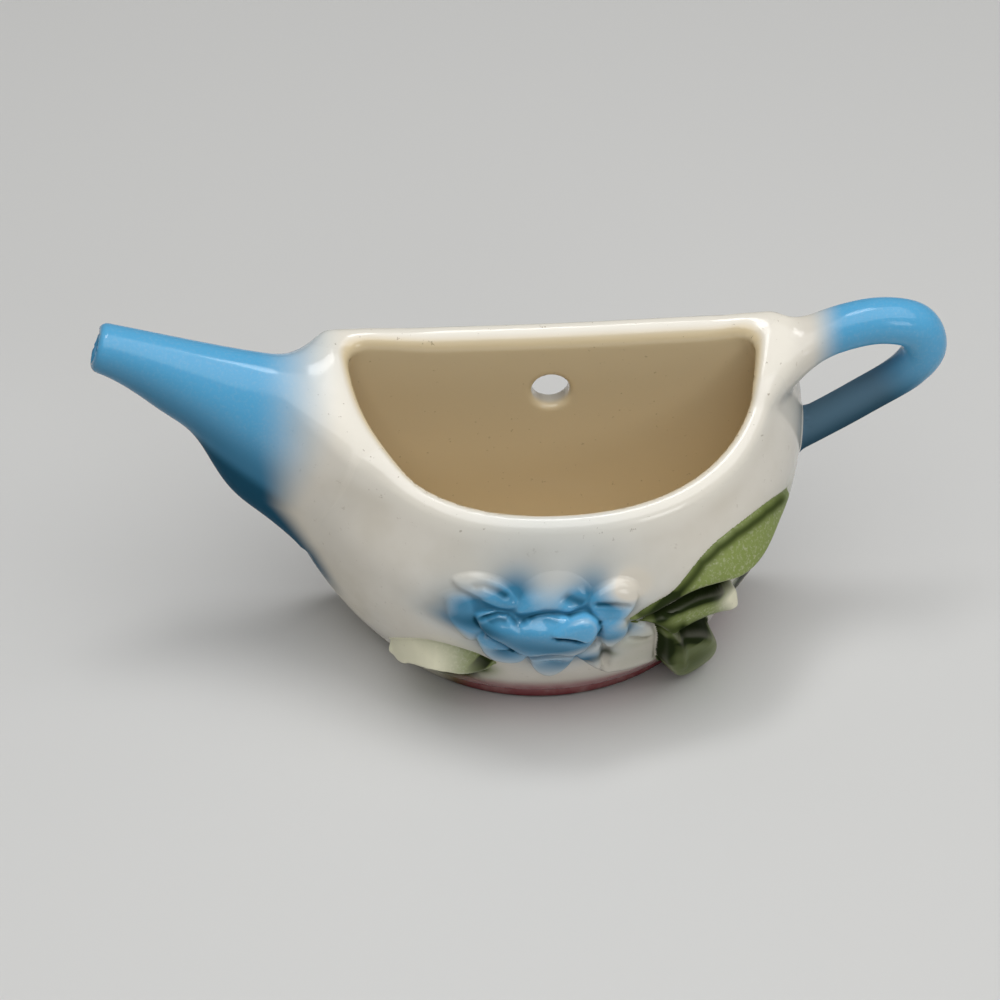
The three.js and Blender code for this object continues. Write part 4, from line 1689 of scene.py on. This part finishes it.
    def relief(self, right: Array, climb: Array) -> tuple[Array, Array]:
        """Height of the clay above the wall, and which sprout is on top.

        Args:
            right: Places right of the front line.
            climb: Places up from the foot.

        Returns:
            Heights in millimetres, and the number of the sprout at each place.
        """
        stack = np.stack([sprout.height(right, climb) for sprout in self.sprouts])
        owner = stack.argmax(axis=0)
        height = stack[0]
        for other in stack[1:]:
            height = soft_max(height, other, self.join)
        raised = smooth_step(0, self.crease_rise, height)
        for crease in self.creases:
            height = height - raised * crease.amount(right, climb)
        height = soft_max(height, np.zeros_like(height), self.foot_fillet)
        for _ in range(self.calm_rounds):
            height = self.blurred(height)
        return height, owner

    @staticmethod
    def blurred(height: Array) -> Array:
        """One light smoothing pass over the heights.

        Args:
            height: Heights on an even grid.

        Returns:
            The smoothed heights.
        """
        for axis in (0, 1):
            ends = [(1, 1) if side == axis else (0, 0) for side in (0, 1)]
            padded = np.moveaxis(np.pad(height, ends, mode="edge"), axis, 0)
            height = np.moveaxis(0.5 * padded[1:-1] + 0.25 * (padded[2:] + padded[:-2]), 0, axis)
        return height

    def build(self, shop: Workshop) -> None:
        """Builds and dresses each petal and leaf.

        Args:
            shop: Makes the pieces.
        """
        rights = np.arange(self.low[0], self.high[0], self.step)
        climbs = np.arange(self.low[1], self.high[1], self.step)
        right, climb = np.meshgrid(rights, climbs, indexing="ij")
        height, owner = self.relief(right, climb)
        base = self.wall.place(right, climb)
        out = self.wall.normal(right, climb)
        rise = height - self.wall.unevenness(*np.moveaxis(base, -1, 0))
        top = base + out * rise[..., None]
        bottom = base - out * self.sunk
        normal = np.cross(np.gradient(top, axis=0), np.gradient(top, axis=1))
        normal /= np.linalg.norm(normal, axis=-1, keepdims=True)
        coats = self.coats(right, climb, height)
        numbers = np.arange(height.size).reshape(height.shape)
        corners = np.stack(
            [numbers[:-1, :-1], numbers[1:, :-1], numbers[1:, 1:], numbers[:-1, 1:]], axis=-1
        ).reshape(-1, 4)
        raised = height.ravel()[corners].max(axis=1) > self.feather
        mine = owner.ravel()[corners[:, 0]]
        for index, sprout in enumerate(self.sprouts):
            faces = corners[raised & (mine == index)]
            chosen, compact = np.unique(faces, return_inverse=True)
            faces = compact.reshape(faces.shape)
            above, below, outward, inward = (
                rows.reshape(-1, 3)[chosen] for rows in (top, bottom, normal, -out)
            )
            points, closed = self.closed(above, below, faces)
            both = np.concatenate([chosen, chosen])
            directions = np.concatenate([outward, inward])
            layers = {coat: strength.ravel()[both] for coat, strength in coats.items()}
            if sprout.slot is not Slot.LEAF:
                layers[Coat.GREEN] = self.green_haze_and_shade(right, climb).ravel()[both]
                layers[Coat.LIP] = np.zeros(len(both))
            shop.piece(sprout.node, sprout.slot, points, closed, directions, layers)

    @staticmethod
    def closed(top: Array, bottom: Array, faces: Array) -> tuple[Array, Array]:
        """Closes a patch of clay with an underside and a side along its edge.

        Args:
            top: Places of the patch.
            bottom: The same places inside the wall.
            faces: Faces of the patch.

        Returns:
            All points and all faces of the closed piece.
        """
        count = len(top)
        starts, ends = faces.ravel(), np.roll(faces, -1, axis=1).ravel()
        lone = ~np.isin(starts * count + ends, ends * count + starts)
        a, b = starts[lone], ends[lone]
        skirt = np.stack([b, a, a + count, b + count], axis=1)
        return np.vstack([top, bottom]), np.vstack([faces, faces[:, ::-1] + count, skirt])

    def coats(self, right: Array, climb: Array, height: Array) -> dict[Coat, Array]:
        """Sprayed colours on the sprig, with painted shade in its creases and thin on its crests.

        Args:
            right: Places right of the front line.
            climb: Places up from the foot.
            height: Height of the clay above the wall.

        Returns:
            Strength of each coat.
        """
        broad = height
        for _ in range(self.broad_rounds):
            broad = self.blurred(broad)
        # painted shade in creases, where the clay lies below its blurred height
        pool = smooth_step(*self.fold_depths, broad - height)
        crest = smooth_step(*self.crest_heights, height - broad)
        blue = self.blue(right, climb)
        green = 1 - sprayed(self.bare_puffs, right, climb)
        tinted_shade = self.fold_shade_tint * pool
        halo = self.halo(blue) * smooth_step(*self.halo_heights, height)
        fold_and_line_shade = np.maximum(pool, self.painted_shade(right, climb))
        sprayed_blue = blue * (1 - self.blue_wear * crest) + tinted_shade * smooth_step(*self.blue_start, blue)
        return {
            Coat.BLUE: np.clip(sprayed_blue, 0, 1),
            Coat.GREEN: np.clip(green * (1 - self.green_wear * crest) + tinted_shade, 0, 1),
            Coat.POOL: np.maximum(fold_and_line_shade, halo),
            # painted highlight on the bare leaf parts
            Coat.LIP: self.bare_highlight * (1 - green),
        }


@dataclass
class Studio:
    """Floor, soft light and the camera at the photograph's angle."""

    azimuth: float = -3.0
    elevation: float = 41.0
    roll: float = 0.5
    distance: float = 0.6
    target: Place = (-0.012, -0.022, -0.0153)
    lens: float = 101.34
    floor_size: float = 6.0
    floor_colour: Colour = (0.66, 0.66, 0.65)
    sky: float = 0.15
    sky_colour: Colour = (1.0, 0.99, 0.97)
    floor_gap: float = 0.0001
    floor_roughness: float = 0.6
    sensor: float = 36.0

    def build(self) -> None:
        """Sets up everything round the object."""
        self.lay_floor()
        self.light()
        self.aim_camera()

    def lay_floor(self) -> None:
        """A plain pale floor under the foot."""
        half = self.floor_size / 2
        mesh = bpy.data.meshes.new("floor")
        corners = [(-half, -half), (half, -half), (half, half), (-half, half)]
        mesh.from_pydata([(x, y, TABLE_Z - self.floor_gap) for x, y in corners], [], [(0, 1, 2, 3)])
        material = bpy.data.materials.new("pale_floor")
        material.use_nodes = True
        shader = material.node_tree.nodes["Principled BSDF"]
        shader.inputs["Base Color"].default_value = (*self.floor_colour, 1)
        shader.inputs["Roughness"].default_value = self.floor_roughness
        mesh.materials.append(material)
        floor = bpy.data.objects.new("floor", mesh)
        bpy.context.scene.collection.objects.link(floor)

    def light(self) -> None:
        """An even sky and three soft panels."""
        world = bpy.data.worlds.new("studio")
        world.use_nodes = True
        background = world.node_tree.nodes["Background"]
        background.inputs["Color"].default_value = (*self.sky_colour, 1)
        background.inputs["Strength"].default_value = self.sky
        bpy.context.scene.world = world
        for name, place, size, power in (
            ("key_panel", (0.14, -0.36, 1.15), (1.6, 1.2), 13.6),
            ("top_panel", (-0.1, 0.12, 1.0), (0.4, 0.2), 2.0),
            ("front_panel", (0.5, -1.0, 0.45), (0.3, 0.3), 1.0),
        ):
            lamp = bpy.data.lights.new(name, "AREA")
            lamp.shape = "RECTANGLE"
            lamp.size, lamp.size_y = size
            lamp.energy = power
            panel = bpy.data.objects.new(name, lamp)
            aim = Vector(self.target) - Vector(place)
            turned = aim.to_track_quat("-Z", "Y").to_matrix().to_4x4()
            panel.matrix_world = Matrix.Translation(place) @ turned
            bpy.context.scene.collection.objects.link(panel)

    def aim_camera(self) -> None:
        """Sets the camera to the photograph's angle and frame."""
        turn, tilt, roll = (math.radians(a) for a in (self.azimuth, self.elevation, self.roll))
        back = Vector((math.sin(turn) * math.cos(tilt), -math.cos(turn) * math.cos(tilt), math.sin(tilt)))
        level = Vector((math.cos(turn), math.sin(turn), 0))
        upright = back.cross(level)
        right = math.cos(roll) * level - math.sin(roll) * upright
        up = math.sin(roll) * level + math.cos(roll) * upright
        lens = bpy.data.cameras.new("camera")
        lens.lens = self.lens
        lens.sensor_width = self.sensor
        camera = bpy.data.objects.new("camera", lens)
        turned = Matrix((right, up, back)).transposed().to_4x4()
        camera.matrix_world = Matrix.Translation(Vector(self.target) + self.distance * back) @ turned
        bpy.context.scene.collection.objects.link(camera)
        bpy.context.scene.camera = camera


def main() -> None:
    """Builds the planter and its studio."""
    logging.basicConfig(level=logging.INFO, format="%(name)s: %(message)s")
    bpy.context.scene.view_settings.view_transform = "Standard"
    shop = Workshop()
    wall = PocketWall()
    sprig = Sprig(wall)
    Vessel(wall, Spout(), Handle()).build(shop, sprig)
    sprig.build(shop)
    Studio().build()
    bpy.context.view_layer.update()


if __name__ == "__main__":
    main()
